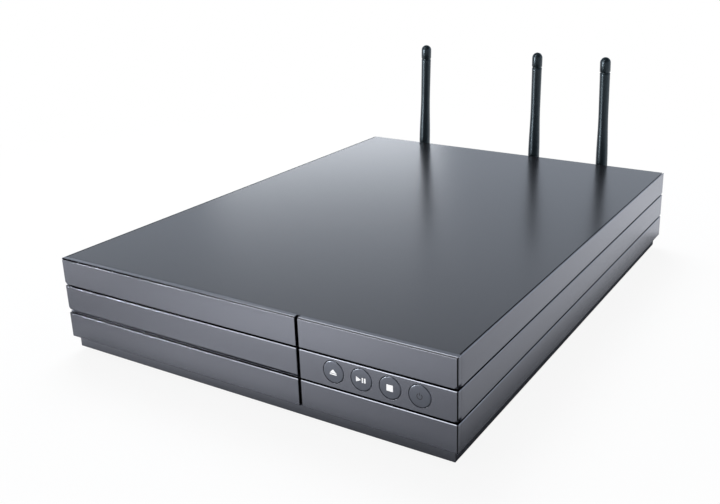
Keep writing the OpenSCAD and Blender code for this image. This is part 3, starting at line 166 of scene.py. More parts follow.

# Half size of the floor, and the colour of its painted reflection, a glow that only gloss sees
FLOOR_HALF = 8
PAINTED_FLOOR_REFLECTION_COLOR = (0.93, 0.955, 1)
# Spans on the floor: two places in metres and the values there.
# Share of plain white that the camera sees, by the distance from the middle
FLOOR_WHITE = (0.25, 0.65, 0.9, 1.0)
# Levels of the floor's painted reflection beside the case along Y, before it along Y, and where
# "before" ends
BESIDE = (-0.3, 0.27, 0.175, 1.0)
BEFORE = (-0.27, -0.24, 0.92, 0.57)
BEFORE_END = (-0.19, -0.18, 1, 0)
# Way to the left of the brightest place of the painted reflection before the case, and its
# level away from it
BRIGHT_X = 0.04
ACROSS = (0.03, 0.15, 1.0, 0.55)
# The level of the painted reflection next to the case's outline: a painted contact shadow
PAINTED_CONTACT_SHADOW = (0.0, 0.025)

# The camera's lens and shift, its place in metres and the ways it looks
LENS = 44.228
SHIFT = (-0.0945, -0.0486)
CAMERA_PLACE = (0.30297, -0.50748, 0.25439)
CAMERA_RIGHT = (0.87216, 0.48914, -0.00899)
CAMERA_AHEAD = (-0.46587, 0.82478, -0.32049)


# ---------- settings ----------


def color_setting(name, text, value):
    return FloatVectorProperty(
        name=name, description=text, default=value, size=3, min=0, max=1, subtype="COLOR"
    )


def length_setting(name, text, value):
    return FloatProperty(
        name=name, description=text, default=value, min=0, subtype="DISTANCE", unit="LENGTH"
    )


def share_setting(name, text, value):
    return FloatProperty(
        name=name, description=text, default=value, min=0, max=1, subtype="FACTOR"
    )


class PlayerFinishes(PropertyGroup):
    """Colours and gloss of the outer skins"""

    band: color_setting("Bands", "Colour of the front and side bands", (0.055, 0.06, 0.075))
    band_gloss: share_setting("Band roughness", "How matt the bands are", 0.23)
    cover: color_setting("Cover", "Colour of the top cover", (0.012, 0.012, 0.014))
    cover_gloss: share_setting("Cover roughness", "How matt the top cover is", 0.24)
    pan: color_setting("Pan", "Colour of the base pan and the rear panel", (0.05, 0.054, 0.066))
    key: color_setting("Keys", "Colour of the push buttons", (0.05, 0.055, 0.07))
    sign: color_setting("Signs", "Colour of the printed signs on the buttons", (0.8, 0.8, 0.8))
    aerial: color_setting("Aerials", "Colour of the rod aerials", (0.01, 0.017, 0.021))


class PlayerSizes(PropertyGroup):
    """Small sizes that the frame leaves to the dressing"""

    edge: length_setting("Edge rounding", "Rounding of the skins' edges", 0.00012)
    tray_edge: length_setting("Tray rounding", "Rounding of the disc tray's edges", 0.0003)
    dome: length_setting("Button dome", "Rise of the button caps at their middle", 0.00018)
    sign: length_setting("Sign thickness", "Thickness of the printed signs", 0.00004)


class PlayerStudio(PropertyGroup):
    """Floor and light"""

    floor: color_setting("Floor", "Colour of the floor", (0.93, 0.93, 0.93))
    world: share_setting("Room light", "Level of the light from all round", 0.35)
    lamp: FloatProperty(
        name="Lamps", description="Level of the studio lamps", default=1.0, min=0, max=4
    )


# ---------- materials ----------


class Finish:
    """A material on Object coordinates, with short calls for its nodes"""

    def __init__(self, name, **sockets):
        self.material = bpy.data.materials.new(name)
        self.material.use_nodes = True
        self.tree = self.material.node_tree
        self.tree.nodes.clear()
        output = self.add("ShaderNodeOutputMaterial")
        self.shader = self.add("ShaderNodeBsdfPrincipled")
        self.link(self.shader.outputs[0], output.inputs[0])
        self.place = self.add("ShaderNodeTexCoord").outputs["Object"]
        for key, value in sockets.items():
            self.shader.inputs[key.replace("_", " ")].default_value = value

    def add(self, kind, **values):
        """A new node with some of its settings"""
        node = self.tree.nodes.new(kind)
        for key, value in values.items():
            setattr(node, key, value)
        return node

    def link(self, a, b):
        self.tree.links.new(a, b)

    def stretch(self, scale):
        """The place, with its axes scaled one by one"""
        node = self.add("ShaderNodeMapping")
        node.inputs["Scale"].default_value = scale
        self.link(self.place, node.inputs["Vector"])
        return node.outputs[0]

    def noise(self, scale, detail=2.0, place=None):
        node = self.add("ShaderNodeTexNoise")
        node.inputs["Scale"].default_value = scale
        node.inputs["Detail"].default_value = detail
        self.link(place or self.place, node.inputs["Vector"])
        return node.outputs["Fac"]

    def stripes(self, scale, axis="X"):
        node = self.add("ShaderNodeTexWave", bands_direction=axis)
        node.inputs["Scale"].default_value = scale
        self.link(self.place, node.inputs["Vector"])
        return node.outputs["Fac"]

    def along(self, axis):
        """One coordinate of the place, in metres"""
        node = self.add("ShaderNodeSeparateXYZ")
        self.link(self.place, node.inputs[0])
        return node.outputs[axis]

    def span(self, value, low, high, to_low=0.0, to_high=1.0):
        """The value, taken from one range to another and kept inside it"""
        node = self.add("ShaderNodeMapRange")
        for i, number in enumerate((low, high, to_low, to_high)):
            node.inputs[i + 1].default_value = number
        self.link(value, node.inputs[0])
        return node.outputs[0]

    def math(self, operation, a, b=0):
        """A sum of one or two values, each a number or an output"""
        node = self.add("ShaderNodeMath", operation=operation)
        for source, socket in zip((a, b), node.inputs):
            if isinstance(source, bpy.types.NodeSocket):
                self.link(source, socket)
            else:
                socket.default_value = source
        return node.outputs[0]

    def within(self, axis, low, high, middle=0.0):
        """One where the coordinate lies between two values in millimetres, else zero"""
        off = self.math("SUBTRACT", self.along(axis), ((low + high) / 2 - middle) * MM)
        return self.math("LESS_THAN", self.math("ABSOLUTE", off), (high - low) / 2 * MM)

    def mix(self, share, a, b):
        """A colour between a and b, each a colour or an output"""
        node = self.add("ShaderNodeMix", data_type="RGBA")
        self.link(share, node.inputs["Factor"])
        for source, socket in ((a, node.inputs[6]), (b, node.inputs[7])):
            if isinstance(source, bpy.types.NodeSocket):
                self.link(source, socket)
            else:
                socket.default_value = (*source[:3], 1)
        return node.outputs[2]

    def bump(self, height, strength, distance=0.0001):
        node = self.add("ShaderNodeBump")
        node.inputs["Strength"].default_value = strength
        node.inputs["Distance"].default_value = distance
        self.link(height, node.inputs["Height"])
        self.link(node.outputs[0], self.shader.inputs["Normal"])

    def color(self, output):
        self.link(output, self.shader.inputs["Base Color"])

    def rough(self, output):
        self.link(output, self.shader.inputs["Roughness"])


def tint(color, factor):
    """The colour, paler or darker by a factor"""
    return tuple(min(1.0, part * factor) for part in color[:3])


def surface(name, color, roughness, spread=0.08, matt=0.04, patch=30.0, grain=1500.0,
            relief=0.06, depth=0.00005, **sockets):
    """A finish whose colour, gloss and relief vary finely over the surface"""
    f = Finish(name, **sockets)
    broad = f.noise(patch, 3.0)
    fine = f.noise(grain, 2.0)
    f.color(f.mix(broad, tint(color, 1 - spread), tint(color, 1 + spread)))
    f.rough(f.span(fine, 0.25, 0.75, max(0.02, roughness - matt), min(1, roughness + matt)))
    f.bump(fine, relief, depth)
    return f


def circuit_board(name, base, trace):
    """Lacquered board with traces and solder dots"""
    f = Finish(name, Roughness=0.35)
    bricks = f.add("ShaderNodeTexBrick")
    bricks.offset = 0.37
    bricks.inputs["Scale"].default_value = 420
    bricks.inputs["Mortar Size"].default_value = 0.06
    bricks.inputs["Mortar Smooth"].default_value = 0.2
    bricks.inputs["Color1"].default_value = (*base, 1)
    bricks.inputs["Color2"].default_value = (*tint(base, 0.86), 1)
    bricks.inputs["Mortar"].default_value = (*trace, 1)
    f.link(f.place, bricks.inputs["Vector"])
    dots = f.add("ShaderNodeTexVoronoi")
    dots.inputs["Scale"].default_value = 330
    f.link(f.place, dots.inputs["Vector"])
    pads = f.span(dots.outputs["Distance"], 0.16, 0.12)
    f.color(f.mix(pads, bricks.outputs["Color"], (0.72, 0.72, 0.7)))
    f.link(f.span(pads, 0, 1, 0, 0.9), f.shader.inputs["Metallic"])
    f.bump(bricks.outputs["Fac"], 0.15, 0.00003)
    return f


def wound_wire(name, color):
    """Turns of lacquered wire, with painted shade in the dips between them"""
    f = Finish(name, Metallic=0.9, Roughness=0.32)
    turns = f.stripes(1400, "Z")
    # Painted shade: the colour darkens where the relief dips between turns
    f.color(f.mix(turns, tint(color, 0.45), color))
    f.bump(turns, 0.6, 0.0002)
    return f


def brushed(name, color, roughness, axis=(1, 40, 40), **sockets):
    """Metal with fine lines along one way"""
    f = Finish(name, Metallic=1.0, **sockets)
    where = f.stretch(axis)
    lines = f.noise(120, 4.0, where)
    cloud = f.noise(18, 2.0)
    f.color(f.mix(cloud, tint(color, 0.9), color))
    f.rough(f.span(lines, 0.3, 0.7, roughness - 0.08, roughness + 0.08))
    f.bump(lines, 0.12, 0.00003)
    return f


def can_sleeve(name, color):
    """Shrunk sleeve with paler stripes"""
    f = Finish(name, Roughness=0.3)
    stripe = f.span(f.stripes(130, "X"), 0.86, 0.9)
    f.color(f.mix(stripe, color, (0.6, 0.62, 0.66)))
    f.bump(f.noise(900), 0.05)
    return f


def ribbon(name):
    """Flat cable with its conductors side by side"""
    f = Finish(name, Roughness=0.45)
    wires = f.span(f.stripes(800, "X"), 0.35, 0.6)
    f.color(f.mix(wires, (0.72, 0.73, 0.76), (0.5, 0.5, 0.52)))
    f.bump(wires, 0.3, 0.0001)
    return f


def moulding(name, color, roughness, **sockets):
    """Moulded plastic or rubber with a fine grain"""
    return surface(name, color, roughness, spread=0.07, matt=0.06, patch=45, grain=2600,
                   relief=0.16, depth=0.00004, **sockets)


def band_paint(color, roughness):
    """Paint of the bands, with painted shade in the grooves, the upright gap, the joints and on
    top
    """
    f = surface("band_paint", color, roughness, spread=0.03, matt=0.02, patch=14, grain=3200,
                relief=0.03, **BAND_SHINE)
    paint = f.shader.inputs["Base Color"].links[0].from_socket
    front = f.within("Y", *FRONT_Y, MIDDLE)
    joints = (
        *(f.within("Z", *groove) for groove in GROOVE_SHADE_Z), f.within("X", *GAP_SHADE_X),
        f.math("MULTIPLY", f.within("Z", *TOP_JOINT_SHADE_Z), front),
        f.math("MULTIPLY", f.within("X", *SIDE_JOINT_SHADE_X), front),
        # Painted shade on the lips on top, in part
        f.math("MULTIPLY", f.within("Z", *LIP_SHADE_Z), LIP_SHADE_SHARE),
    )
    painted_shade = joints[0]
    for shade_mask in joints[1:]:
        painted_shade = f.math("MAXIMUM", painted_shade, shade_mask)
    # Painted shade: near black colour and almost no gloss in the masked places
    f.color(f.mix(painted_shade, paint, (0.003, 0.003, 0.004)))
    f.link(f.span(painted_shade, 0, 1, 0.5, 0.02), f.shader.inputs["Specular IOR Level"])
    return f


def make_finishes(s):
    """All finishes, by the name of the record's slot"""
    made = {
        "case_black": band_paint(s.band, s.band_gloss),
        "cover_black": surface("cover_paint", s.cover, s.cover_gloss, spread=0.1, matt=0.02,
                               patch=9, grain=3000, relief=0.03, IOR=1.6),
        "pan_black": surface("pan_paint", s.pan, 0.34, spread=0.05, matt=0.03, grain=2400,
                             relief=0.06, **BAND_SHINE),
        "button_black": surface("key_plastic", s.key, 0.32, spread=0.04, matt=0.03,
                                grain=3500, relief=0.04, IOR=2.5,
                                Specular_Tint=(0.85, 0.89, 1, 1)),
        "foot_rubber": moulding("foot_rubber", (0.018, 0.018, 0.018), 0.8),
        "belt_rubber": moulding("belt_rubber", (0.02, 0.02, 0.02), 0.7),
        "grommet_rubber": moulding("grommet_rubber", (0.16, 0.1, 0.07), 0.75),
        "antenna_black": surface("aerial_plastic", s.aerial, 0.34, spread=0.1, matt=0.04,
                                 grain=2600, relief=0.06, IOR=1.65,
                                 Specular_Tint=(0.75, 0.91, 1, 1)),
        "tray_black": moulding("tray_plastic", (0.03, 0.03, 0.033), 0.5),
        "frame_black": moulding("frame_plastic", (0.035, 0.035, 0.038), 0.6),
        "gear_white": moulding("gear_acetal", (0.82, 0.8, 0.73), 0.42,
                               Subsurface_Weight=0.1, Subsurface_Scale=0.002),
        "part_grey": moulding("part_plastic", (0.16, 0.16, 0.175), 0.5),
        "steel": brushed("plated_steel", (0.62, 0.63, 0.65), 0.34),
        "rod_steel": brushed("ground_steel", (0.74, 0.75, 0.77), 0.16, (40, 1, 40)),
        "brass_gold": surface("gilt_brass", (0.86, 0.66, 0.3), 0.22, Metallic=1.0),
        "board_green": circuit_board("green_board", (0.02, 0.16, 0.06), (0.03, 0.26, 0.1)),
        "board_tan": circuit_board("tan_board", (0.42, 0.29, 0.12), (0.5, 0.37, 0.18)),
        "chip_black": moulding("chip_resin", (0.025, 0.025, 0.028), 0.55),
        "sink_alu": brushed("drawn_aluminium", (0.66, 0.67, 0.69), 0.36, (40, 1, 1)),
        "can_blue": can_sleeve("can_sleeve", (0.03, 0.05, 0.18)),
        "coil_copper": wound_wire("copper_wire", (0.72, 0.36, 0.17)),
        "lens_glass": surface("coated_lens", (0.45, 0.55, 0.75), 0.05, spread=0.02, matt=0.01,
                              relief=0.01, Transmission_Weight=0.6, IOR=1.5),
        "jack_black": moulding("socket_plastic", (0.02, 0.02, 0.022), 0.38),
        "ribbon_white": ribbon("flat_ribbon"),
    }
    return {slot: f.material for slot, f in made.items()}


def finishes():
    """Makes the finishes once, and gives them by slot"""
    if not frame.get("finishes"):
        frame["finishes"] = make_finishes(bpy.context.scene.player_finishes)
    return frame["finishes"]


# ---------- meshes ----------


def spot(x, y, z):
    """A point given in millimetres from the middle, the front face and the floor"""
    return Vector((x * MM, (y - MIDDLE) * MM, z * MM))


def piece(bm, name, body, slot, material=None, nodes=(), sharp=30):
    """Makes a bmesh a piece that rides on a body and may stand for CAD nodes"""
    if not bm.faces:
        raise RuntimeError(f"{name} has no faces")
    mesh = bpy.data.meshes.new(name)
    bm.to_mesh(mesh)
    bm.free()
    mesh.shade_smooth()
    mesh.set_sharp_from_angle(angle=math.radians(sharp))
    mesh.materials.append(material or finishes()[slot])
    obj = bpy.data.objects.new(name, mesh)
    bpy.context.scene.collection.objects.link(obj)
    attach(obj, body)
    if nodes:
        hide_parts(*nodes)
    return obj


def merged(node):
    """A merged copy of a CAD node, with flat faces made whole"""
    bm = bmesh.new()
    bm.from_mesh(frame["nodes"][node].data)
    bmesh.ops.remove_doubles(bm, verts=bm.verts, dist=MERGE)
    bmesh.ops.dissolve_limit(
        bm, angle_limit=math.radians(FLAT), verts=bm.verts, edges=bm.edges, delimit=set()
    )
    return bm


def round_edges(bm, width, segments):
    """Rounds every edge that is sharp enough"""
    edges = [
        e for e in bm.edges
        if len(e.link_faces) == 2 and e.calc_face_angle(0) > math.radians(SHARP)
    ]
    bmesh.ops.bevel(
        bm, geom=edges, offset=width, offset_type="OFFSET", segments=segments,
        profile=0.5, affect="EDGES", clamp_overlap=True, material=-1,
    )


def dress(node, name, body, slot, width, segments=2):
    """Stands a rounded copy in a CAD node's place"""
    bm = merged(node)
    round_edges(bm, width, segments)
    obj = piece(bm, name, body, slot, nodes=(node,), sharp=40)
    obj.modifiers.new("face_shading", "WEIGHTED_NORMAL").keep_sharp = True
    return obj


def lathe(points, steps=64):
    """A closed shape turned round Z from (radius, height) points in millimetres"""
    bm = bmesh.new()
    verts = [bm.verts.new((r * MM, 0, z * MM)) for r, z in points]
    edges = [bm.edges.new(pair) for pair in zip(verts, verts[1:])]
    bmesh.ops.spin(
        bm, geom=verts + edges, cent=(0, 0, 0), axis=(0, 0, 1),
        angle=2 * math.pi, steps=steps, use_merge=True,
    )
    bmesh.ops.remove_doubles(bm, verts=bm.verts, dist=MERGE_NEW)
    bmesh.ops.recalc_face_normals(bm, faces=bm.faces)
    return bm


def arc(cx, cy, r, start, stop, count):
    """Points of an arc, its angles in degrees"""
    angles = [math.radians(start + (stop - start) * i / count) for i in range(count + 1)]
    return [(cx + r * math.cos(a), cy + r * math.sin(a)) for a in angles]


def add_block(bm, x, y, z, width=0.0):
    """Adds a box, its spans in millimetres in the mesh's own frame"""
    size = [b - a for a, b in (x, y, z)]
    middle = [(a + b) / 2 for a, b in (x, y, z)]
    made = bmesh.ops.create_cube(bm, size=MM)["verts"]
    bmesh.ops.scale(bm, vec=size, verts=made)
    bmesh.ops.translate(bm, vec=Vector(middle) * MM, verts=made)
    if width:
        edges = list({e for v in made for e in v.link_edges})
        bmesh.ops.bevel(bm, geom=edges, offset=width * MM, segments=2, profile=0.5,
                        affect="EDGES", material=-1)


def add_disc(bm, r, x0, x1):
    """Adds a short cylinder along X"""
    turn = Matrix.Translation(((x0 + x1) / 2 * MM, 0, 0)) @ Matrix.Rotation(math.pi / 2, 4, "Y")
    bmesh.ops.create_cone(
        bm, cap_ends=True, segments=48, radius1=r * MM, radius2=r * MM,
        depth=(x1 - x0) * MM, matrix=turn,
    )


# ---------- case ----------


class PLAYER_OT_case(Operator):
    """Dress the bezel, side panels, cover and pan"""

    bl_idname = "player.case"
    bl_label = "Case"

    def execute(self, context):
        edge = context.scene.player_sizes.edge
        dress("front_bezel", "bezel", "case", "case_black", edge)
        dress("side_panel_left", "left_panel", "case", "case_black", edge)
        dress("side_panel_right", "right_panel", "case", "case_black", edge)
        dress("top_cover", "cover", "case", "cover_black", edge)
        dress("base_pan", "pan", "case", "pan_black", edge)
        dress("rubber_feet", "feet", "case", "foot_rubber", FEET_EDGE)
        return {"FINISHED"}


# ---------- tray ----------


class PLAYER_OT_tray(Operator):
    """Dress the disc tray and its front"""

    bl_idname = "player.tray"
    bl_label = "Tray"

    def execute(self, context):
        sizes = context.scene.player_sizes
        dress("tray_front", "tray_face", "tray", "case_black", sizes.edge)
        dress("disc_tray", "tray_plate", "tray", "tray_black", sizes.tray_edge)
        return {"FINISHED"}


# ---------- buttons ----------


def cap_y(r, dome):
    """Place of the cap's face along Y at a radius, in millimetres"""
    return dome * (r / KEY_R) ** 2 - KEY_OUT


def button_cap(dome):
    """Outline of a push button: domed face, rounded rim, flange and stem"""
    across, deep = KEY_RIM
    face = [(r, cap_y(r, dome)) for r in (0, 1.2, 2.4, 3.4, 4.3, 5.1, KEY_R - across)]
    rim_y = cap_y(KEY_R - across, dome)
    rim = [(KEY_R - across + across * math.sin(a), rim_y + deep * (1 - math.cos(a)))
           for a in (math.radians(d) for d in (20, 40, 60, 75, 90))]
    flange_r, y0, y1 = FLANGE
    stem_r, end = STEM
    back = [(KEY_R, y0), (flange_r, y0), (flange_r, y1), (stem_r, y1), (stem_r, end), (0, end)]
    return face + rim + back


def rectangle(x0, x1, z0, z1):
    """Corners of an upright rectangle"""
    return [(x0, z0), (x1, z0), (x1, z1), (x0, z1)]


def ring(r0, r1, start, stop, count=24):
    """Quads of a ring's arc"""
    inner = arc(0, 0, r0, start, stop, count)
    outer = arc(0, 0, r1, start, stop, count)
    return [[inner[i], outer[i], outer[i + 1], inner[i + 1]] for i in range(count)]


# Outlines of the printed signs, in millimetres from the middle of a cap
SIGNS = {
    "eject": [[(-2.1, -0.55), (2.1, -0.55), (0, 1.65)], rectangle(-2.1, 2.1, -1.5, -0.85)],
    "play": [[(-2.9, -1.5), (0.0, 0), (-2.9, 1.5)], rectangle(0.55, 1.35, -1.35, 1.35),
             rectangle(1.95, 2.75, -1.35, 1.35)],
    "stop": [rectangle(-1.85, 1.85, -1.75, 1.75)],
    "power": ring(1.3, 1.65, 125, 415) + [rectangle(-0.18, 0.18, 0.5, 1.95)],
}


def sign_mesh(shapes, dome, thick):
    """Printed sign that follows the cap's dome"""
    bm = bmesh.new()
    for outline in shapes:
        bm.faces.new([bm.verts.new((x * MM, 0, z * MM)) for x, z in outline])
    bmesh.ops.remove_doubles(bm, verts=bm.verts, dist=MERGE_NEW)
    bmesh.ops.subdivide_edges(bm, edges=bm.edges, cuts=3, use_grid_fill=True)
    bmesh.ops.recalc_face_normals(bm, faces=bm.faces)
    if sum(face.normal.y for face in bm.faces) > 0:
        bmesh.ops.reverse_faces(bm, faces=bm.faces)
    for v in bm.verts:
        r = math.hypot(v.co.x, v.co.z) / MM
        v.co.y = cap_y(r, dome) * MM - thick
    bmesh.ops.solidify(bm, geom=bm.faces, thickness=thick * 1.5)
    return bm


class PLAYER_OT_buttons(Operator):
    """Model the push buttons and their signs"""

    bl_idname = "player.buttons"
    bl_label = "Buttons"

    def execute(self, context):
        sizes = context.scene.player_sizes
        dome = sizes.dome / MM
        looks = context.scene.player_finishes
        # Painted light: the white signs glow a little with their own light, brighter than the
        # lamps make them
        glowing_print = surface("sign_print", looks.sign, 0.5, spread=0.05,
                              Emission_Color=(1, 1, 1, 1), Emission_Strength=0.5).material
        print_dim = surface("sign_print_dim", tint(looks.sign, 0.04), 0.5, spread=0.05).material
        turn = Matrix.Rotation(math.radians(-90), 4, "X")
        for x, name in zip(KEY_X, ("eject", "play", "stop", "power")):
            seat = Matrix.Translation(spot(x, 0, KEY_Z))
            cap = lathe(button_cap(dome))
            cap.transform(seat @ turn)
            bmesh.ops.recalc_face_normals(cap, faces=cap.faces)
            piece(cap, f"{name}_cap", f"{name}_key", "button_black",
                  nodes=(f"button_{name}",))
            sign = sign_mesh(SIGNS[name], dome, sizes.sign)
            sign.transform(seat)
            piece(sign, f"{name}_sign", f"{name}_key", "ribbon_white",
                  print_dim if name == "power" else glowing_print)
        return {"FINISHED"}


# ---------- aerials ----------


def ease(t):
    """A smooth rise from zero to one"""
    return (1 - math.cos(math.pi * t)) / 2


def rod_outline(length=110.0, r=4.75, neck=3.95, cap=4.25, cap_len=11.5):
    """Outline of an aerial: thick foot, smooth neck, ring groove and round cap"""
    foot, taper, steps = 24, 40, 12
    points = [(0, 6), (r - 0.5, 6), (r - 0.15, 6.15), (r, 6.5), (r, 16), (r, foot)]
    points += [(r + (neck - r) * ease(i / steps), foot + taper * i / steps)
               for i in range(1, steps + 1)]
    low = length - cap_len
    points += [(neck + 0.12, low - 3), (neck + 0.2, low - 1.25), (neck + 0.05, low - 1.1),
               (neck - 0.12, low - 0.95), (neck - 0.18, low - 0.6), (neck - 0.12, low - 0.2),
               (cap - 0.15, low), (cap, low + 0.3)]
    points += [(cap, length - cap - 2)]
    points += arc(0, length - cap, cap, 0, 90, 10)
    return points


class PLAYER_OT_aerials(Operator):
    """Model the aerials and dress their swivel bases"""

    bl_idname = "player.aerials"
    bl_label = "Aerials"

    def execute(self, context):
        eye_r, eye = HINGE_EYE
        pin_r, pin = HINGE_PIN
        neck, top, rounding = HINGE_NECK
        for name, x, lean in AERIALS:
            bm = lathe(rod_outline())
            add_disc(bm, eye_r, -eye, eye)
            add_block(bm, (-eye, eye), (-neck, neck), (0, top), rounding)
            add_disc(bm, pin_r, -pin, pin)
            bm.transform(
                Matrix.Translation(spot(x, AERIAL_Y, AERIAL_Z))
                @ Matrix.Rotation(math.radians(lean), 4, "Y")
            )
            piece(bm, f"{name}_aerial", f"{name}_rod", "antenna_black",
                  nodes=(f"antenna_{name}_rod",), sharp=50)
            dress(f"antenna_{name}_base", f"{name}_aerial_base", f"{name}_swivel",
                  "antenna_black", BASE_EDGE, 3)
        return {"FINISHED"}


# ---------- connectors ----------


class PLAYER_OT_connectors(Operator):
    """Ring the phono jacks in colour and dress the rear panel"""

    bl_idname = "player.connectors"
    bl_label = "Connectors"

    def execute(self, context):
        dress("rear_panel", "rear_plate", "case", "pan_black", REAR_EDGE)
        for i, (name, color) in enumerate(JACKS):
            x = JACK_X + JACK_PITCH * i + (JACK_STEP if i >= JACK_GROUP else 0)
            bm = lathe(JACK_RING, 48)
            bm.transform(Matrix.Translation(spot(x, JACK_Y, JACK_Z))
                         @ Matrix.Rotation(math.radians(-90), 4, "X"))
            bmesh.ops.recalc_face_normals(bm, faces=bm.faces)
            piece(bm, f"{name}_ring", "case", "part_grey",
                  moulding(f"{name}_plastic", color, 0.4).material)
        return {"FINISHED"}


# ---------- everything else ----------


class PLAYER_OT_inside(Operator):
    """Finish the nodes that keep their own shape"""

    bl_idname = "player.inside"
    bl_label = "Inner parts"

    def execute(self, context):
        slots = {m["slot"]: m for m in frame["record"]["materials"]}
        for name, obj in frame["nodes"].items():
            for holder in obj.material_slots:
                base = holder.material.name.split(".")[0] if holder.material else ""
                if base not in slots:
                    raise RuntimeError(f"{name} has no finish: {base}")
                holder.link = "OBJECT"
                holder.material = finishes()[base]
        return {"FINISHED"}


# ---------- stage ----------


def soft_lamp(name, place, aim, size, level, gloss, matt):
    """A soft rectangular lamp; level is the brightness of its face"""
    light = bpy.data.lights.new(name, "AREA")
    light.shape = "RECTANGLE"
    light.size, light.size_y = size
    light.energy = level * math.pi * size[0] * size[1]
    light.color = LAMP_COLOR
    lamp = bpy.data.objects.new(name, light)
    bpy.context.scene.collection.objects.link(lamp)
    turn = (Vector(aim) - Vector(place)).to_track_quat("-Z", "Y").to_matrix().to_4x4()
    lamp.matrix_world = Matrix.Translation(place) @ turn
    lamp.visible_glossy = gloss
    lamp.visible_diffuse = matt
    lamp.visible_camera = False


def studio_world(level):
    """White for the camera, a soft room for light, a darker ceiling in reflections"""
    world = bpy.data.worlds.new("studio")
    world.use_nodes = True
    tree = world.node_tree
    tree.nodes.clear()
    link = tree.links.new
    output = tree.nodes.new("ShaderNodeOutputWorld")
    path = tree.nodes.new("ShaderNodeLightPath")
    place = tree.nodes.new("ShaderNodeTexCoord")
    split = tree.nodes.new("ShaderNodeSeparateXYZ")
    link(place.outputs["Generated"], split.inputs[0])
    height = tree.nodes.new("ShaderNodeMapRange")
    height.interpolation_type = "SMOOTHSTEP"
    for i, number in enumerate(ROOM_SPAN + ROOM_LEVELS):
        height.inputs[i + 1].default_value = number
    slope = tree.nodes.new("ShaderNodeMath")
    slope.operation = "MULTIPLY_ADD"
    slope.inputs[1].default_value = ROOM_SLOPE
    link(split.outputs["Y"], slope.inputs[0])
    link(split.outputs["Z"], slope.inputs[2])
    link(slope.outputs[0], height.inputs[0])
    room = tree.nodes.new("ShaderNodeBackground")
    room.inputs["Strength"].default_value = level
    mirror = tree.nodes.new("ShaderNodeBackground")
    link(height.outputs[0], mirror.inputs["Strength"])
    seen = tree.nodes.new("ShaderNodeBackground")
    for node, color in ((room, (1, 1, 1)), (mirror, ROOM_COLOR), (seen, (1, 1, 1))):
        node.inputs["Color"].default_value = (*color, 1)
    first = tree.nodes.new("ShaderNodeMixShader")
    link(path.outputs["Is Glossy Ray"], first.inputs[0])
    link(room.outputs[0], first.inputs[1])
    link(mirror.outputs[0], first.inputs[2])
    clear = tree.nodes.new("ShaderNodeMath")
    clear.operation = "MAXIMUM"
    link(path.outputs["Is Camera Ray"], clear.inputs[0])
    link(path.outputs["Is Transmission Ray"], clear.inputs[1])
    last = tree.nodes.new("ShaderNodeMixShader")
    link(clear.outputs[0], last.inputs[0])
    link(first.outputs[0], last.inputs[1])
    link(seen.outputs[0], last.inputs[2])
    link(last.outputs[0], output.inputs["Surface"])
    return world


def box_distance(f):
    """Distance on the floor from the outline of the case, in metres"""
    value = f.place
    half = tuple(part * MM for part in CASE_HALF)
    for operation, other in (("ABSOLUTE", None), ("SUBTRACT", half), ("MAXIMUM", (0, 0, 0))):
        node = f.add("ShaderNodeVectorMath", operation=operation)
        f.link(value, node.inputs[0])
        if other:
            node.inputs[1].default_value = other
        value = node.outputs[0]
    size = f.add("ShaderNodeVectorMath", operation="LENGTH")
    f.link(value, size.inputs[0])
    return size.outputs["Value"]


def floor_material(color):
    """Pale matt floor that keeps the shadow and turns plain white further out

    In the gloss of the bands it is a glow with a soft gradient, a painted reflection, darker
    where it meets the case as a painted contact shadow.
    """
    f = Finish("floor_paper", Roughness=0.9)
    f.color(f.mix(f.noise(3.0), tint(color, 0.995), color))
    f.shader.inputs["Specular IOR Level"].default_value = 0.0
    white = f.add("ShaderNodeEmission")
    away = f.add("ShaderNodeVectorMath", operation="LENGTH")
    f.link(f.place, away.inputs[0])
    path = f.add("ShaderNodeLightPath")
    seen = f.math("MULTIPLY", path.outputs["Is Camera Ray"],
                  f.span(away.outputs["Value"], *FLOOR_WHITE))
    y = f.along("Y")
    before = f.math("MULTIPLY", f.span(y, *BEFORE), f.span(y, *BEFORE_END))
    off = f.math("ABSOLUTE", f.math("ADD", f.along("X"), BRIGHT_X))
    before = f.math("MULTIPLY", before, f.span(off, *ACROSS))
    level = f.math("MAXIMUM", f.span(y, *BESIDE), before)
    # Painted reflection: the floor as gloss sees it glows at a level painted by place, with
    # painted shadow next to the case
    mirror = f.add("ShaderNodeEmission")
    mirror.inputs["Color"].default_value = (*PAINTED_FLOOR_REFLECTION_COLOR, 1)
    f.link(f.math("MULTIPLY", level, f.span(box_distance(f), *PAINTED_CONTACT_SHADOW)),
           mirror.inputs["Strength"])
    shader = f.shader.outputs[0]
    for share, source in ((path.outputs["Is Glossy Ray"], mirror), (seen, white)):
        blend = f.add("ShaderNodeMixShader")
        f.link(share, blend.inputs[0])
        f.link(shader, blend.inputs[1])
        f.link(source.outputs[0], blend.inputs[2])
        shader = blend.outputs[0]
    output = next(n for n in f.tree.nodes if n.type == "OUTPUT_MATERIAL")
    f.link(shader, output.inputs[0])
    return f.material


def add_camera():
    """A camera where the photograph was taken from"""
    data = bpy.data.cameras.new("camera")
    data.sensor_width = 36
    data.sensor_fit = "HORIZONTAL"
    data.lens = LENS
    data.shift_x, data.shift_y = SHIFT
    data.clip_start = 0.01
    camera = bpy.data.objects.new("camera", data)
    bpy.context.scene.collection.objects.link(camera)
    right = Vector(CAMERA_RIGHT).normalized()
    ahead = Vector(CAMERA_AHEAD).normalized()
    up = right.cross(ahead)
    turn = Matrix((right, up, -ahead)).transposed().to_4x4()
    camera.matrix_world = Matrix.Translation(CAMERA_PLACE) @ turn
    bpy.context.scene.camera = camera


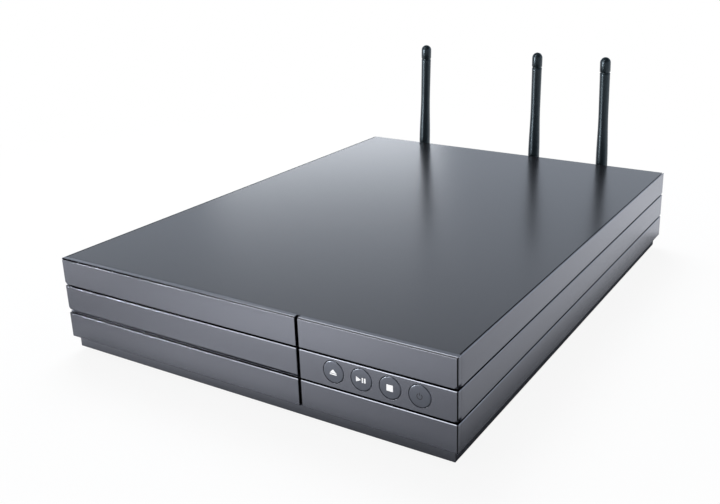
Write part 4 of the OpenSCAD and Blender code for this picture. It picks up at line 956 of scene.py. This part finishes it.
class PLAYER_OT_stage(Operator):
    """Set the floor, the light and the camera"""

    bl_idname = "player.stage"
    bl_label = "Stage"

    def execute(self, context):
        scene = context.scene
        studio = scene.player_studio
        bm = bmesh.new()
        bmesh.ops.create_grid(bm, x_segments=1, y_segments=1, size=FLOOR_HALF)
        mesh = bpy.data.meshes.new("floor")
        bm.to_mesh(mesh)
        bm.free()
        mesh.materials.append(floor_material(studio.floor))
        floor = bpy.data.objects.new("floor", mesh)
        scene.collection.objects.link(floor)
        scene.world = studio_world(studio.world)
        for name, place, aim, size, level, gloss, matt in LAMPS:
            soft_lamp(name, place, aim, size, level * studio.lamp, gloss, matt)
        add_camera()
        scene.view_settings.view_transform = "Standard"
        return {"FINISHED"}


# ---------- panel and registration ----------

STEPS = (
    PLAYER_OT_inside, PLAYER_OT_case, PLAYER_OT_tray, PLAYER_OT_buttons,
    PLAYER_OT_aerials, PLAYER_OT_connectors, PLAYER_OT_stage,
)


class PLAYER_PT_looks(Panel):
    """Lists the steps and settings"""

    bl_idname = "PLAYER_PT_looks"
    bl_label = "Disc player"
    bl_space_type = "VIEW_3D"
    bl_region_type = "UI"
    bl_category = "Disc player"

    def draw(self, context):
        for step in STEPS:
            self.layout.operator(step.bl_idname)
        for group in SETTINGS:
            box = self.layout.box()
            for name in SETTINGS[group].__annotations__:
                box.prop(getattr(context.scene, group), name)


SETTINGS = {
    "player_finishes": PlayerFinishes,
    "player_sizes": PlayerSizes,
    "player_studio": PlayerStudio,
}
CLASSES = (*SETTINGS.values(), *STEPS, PLAYER_PT_looks)


def register():
    for item in CLASSES:
        bpy.utils.register_class(item)
    for name, group in SETTINGS.items():
        setattr(bpy.types.Scene, name, PointerProperty(type=group))


def unregister():
    for name in SETTINGS:
        delattr(bpy.types.Scene, name)
    for item in reversed(CLASSES):
        bpy.utils.unregister_class(item)


def main():
    register()
    for step in STEPS:
        group, name = step.bl_idname.split(".")
        getattr(getattr(bpy.ops, group), name)()


if __name__ == "__main__":
    main()
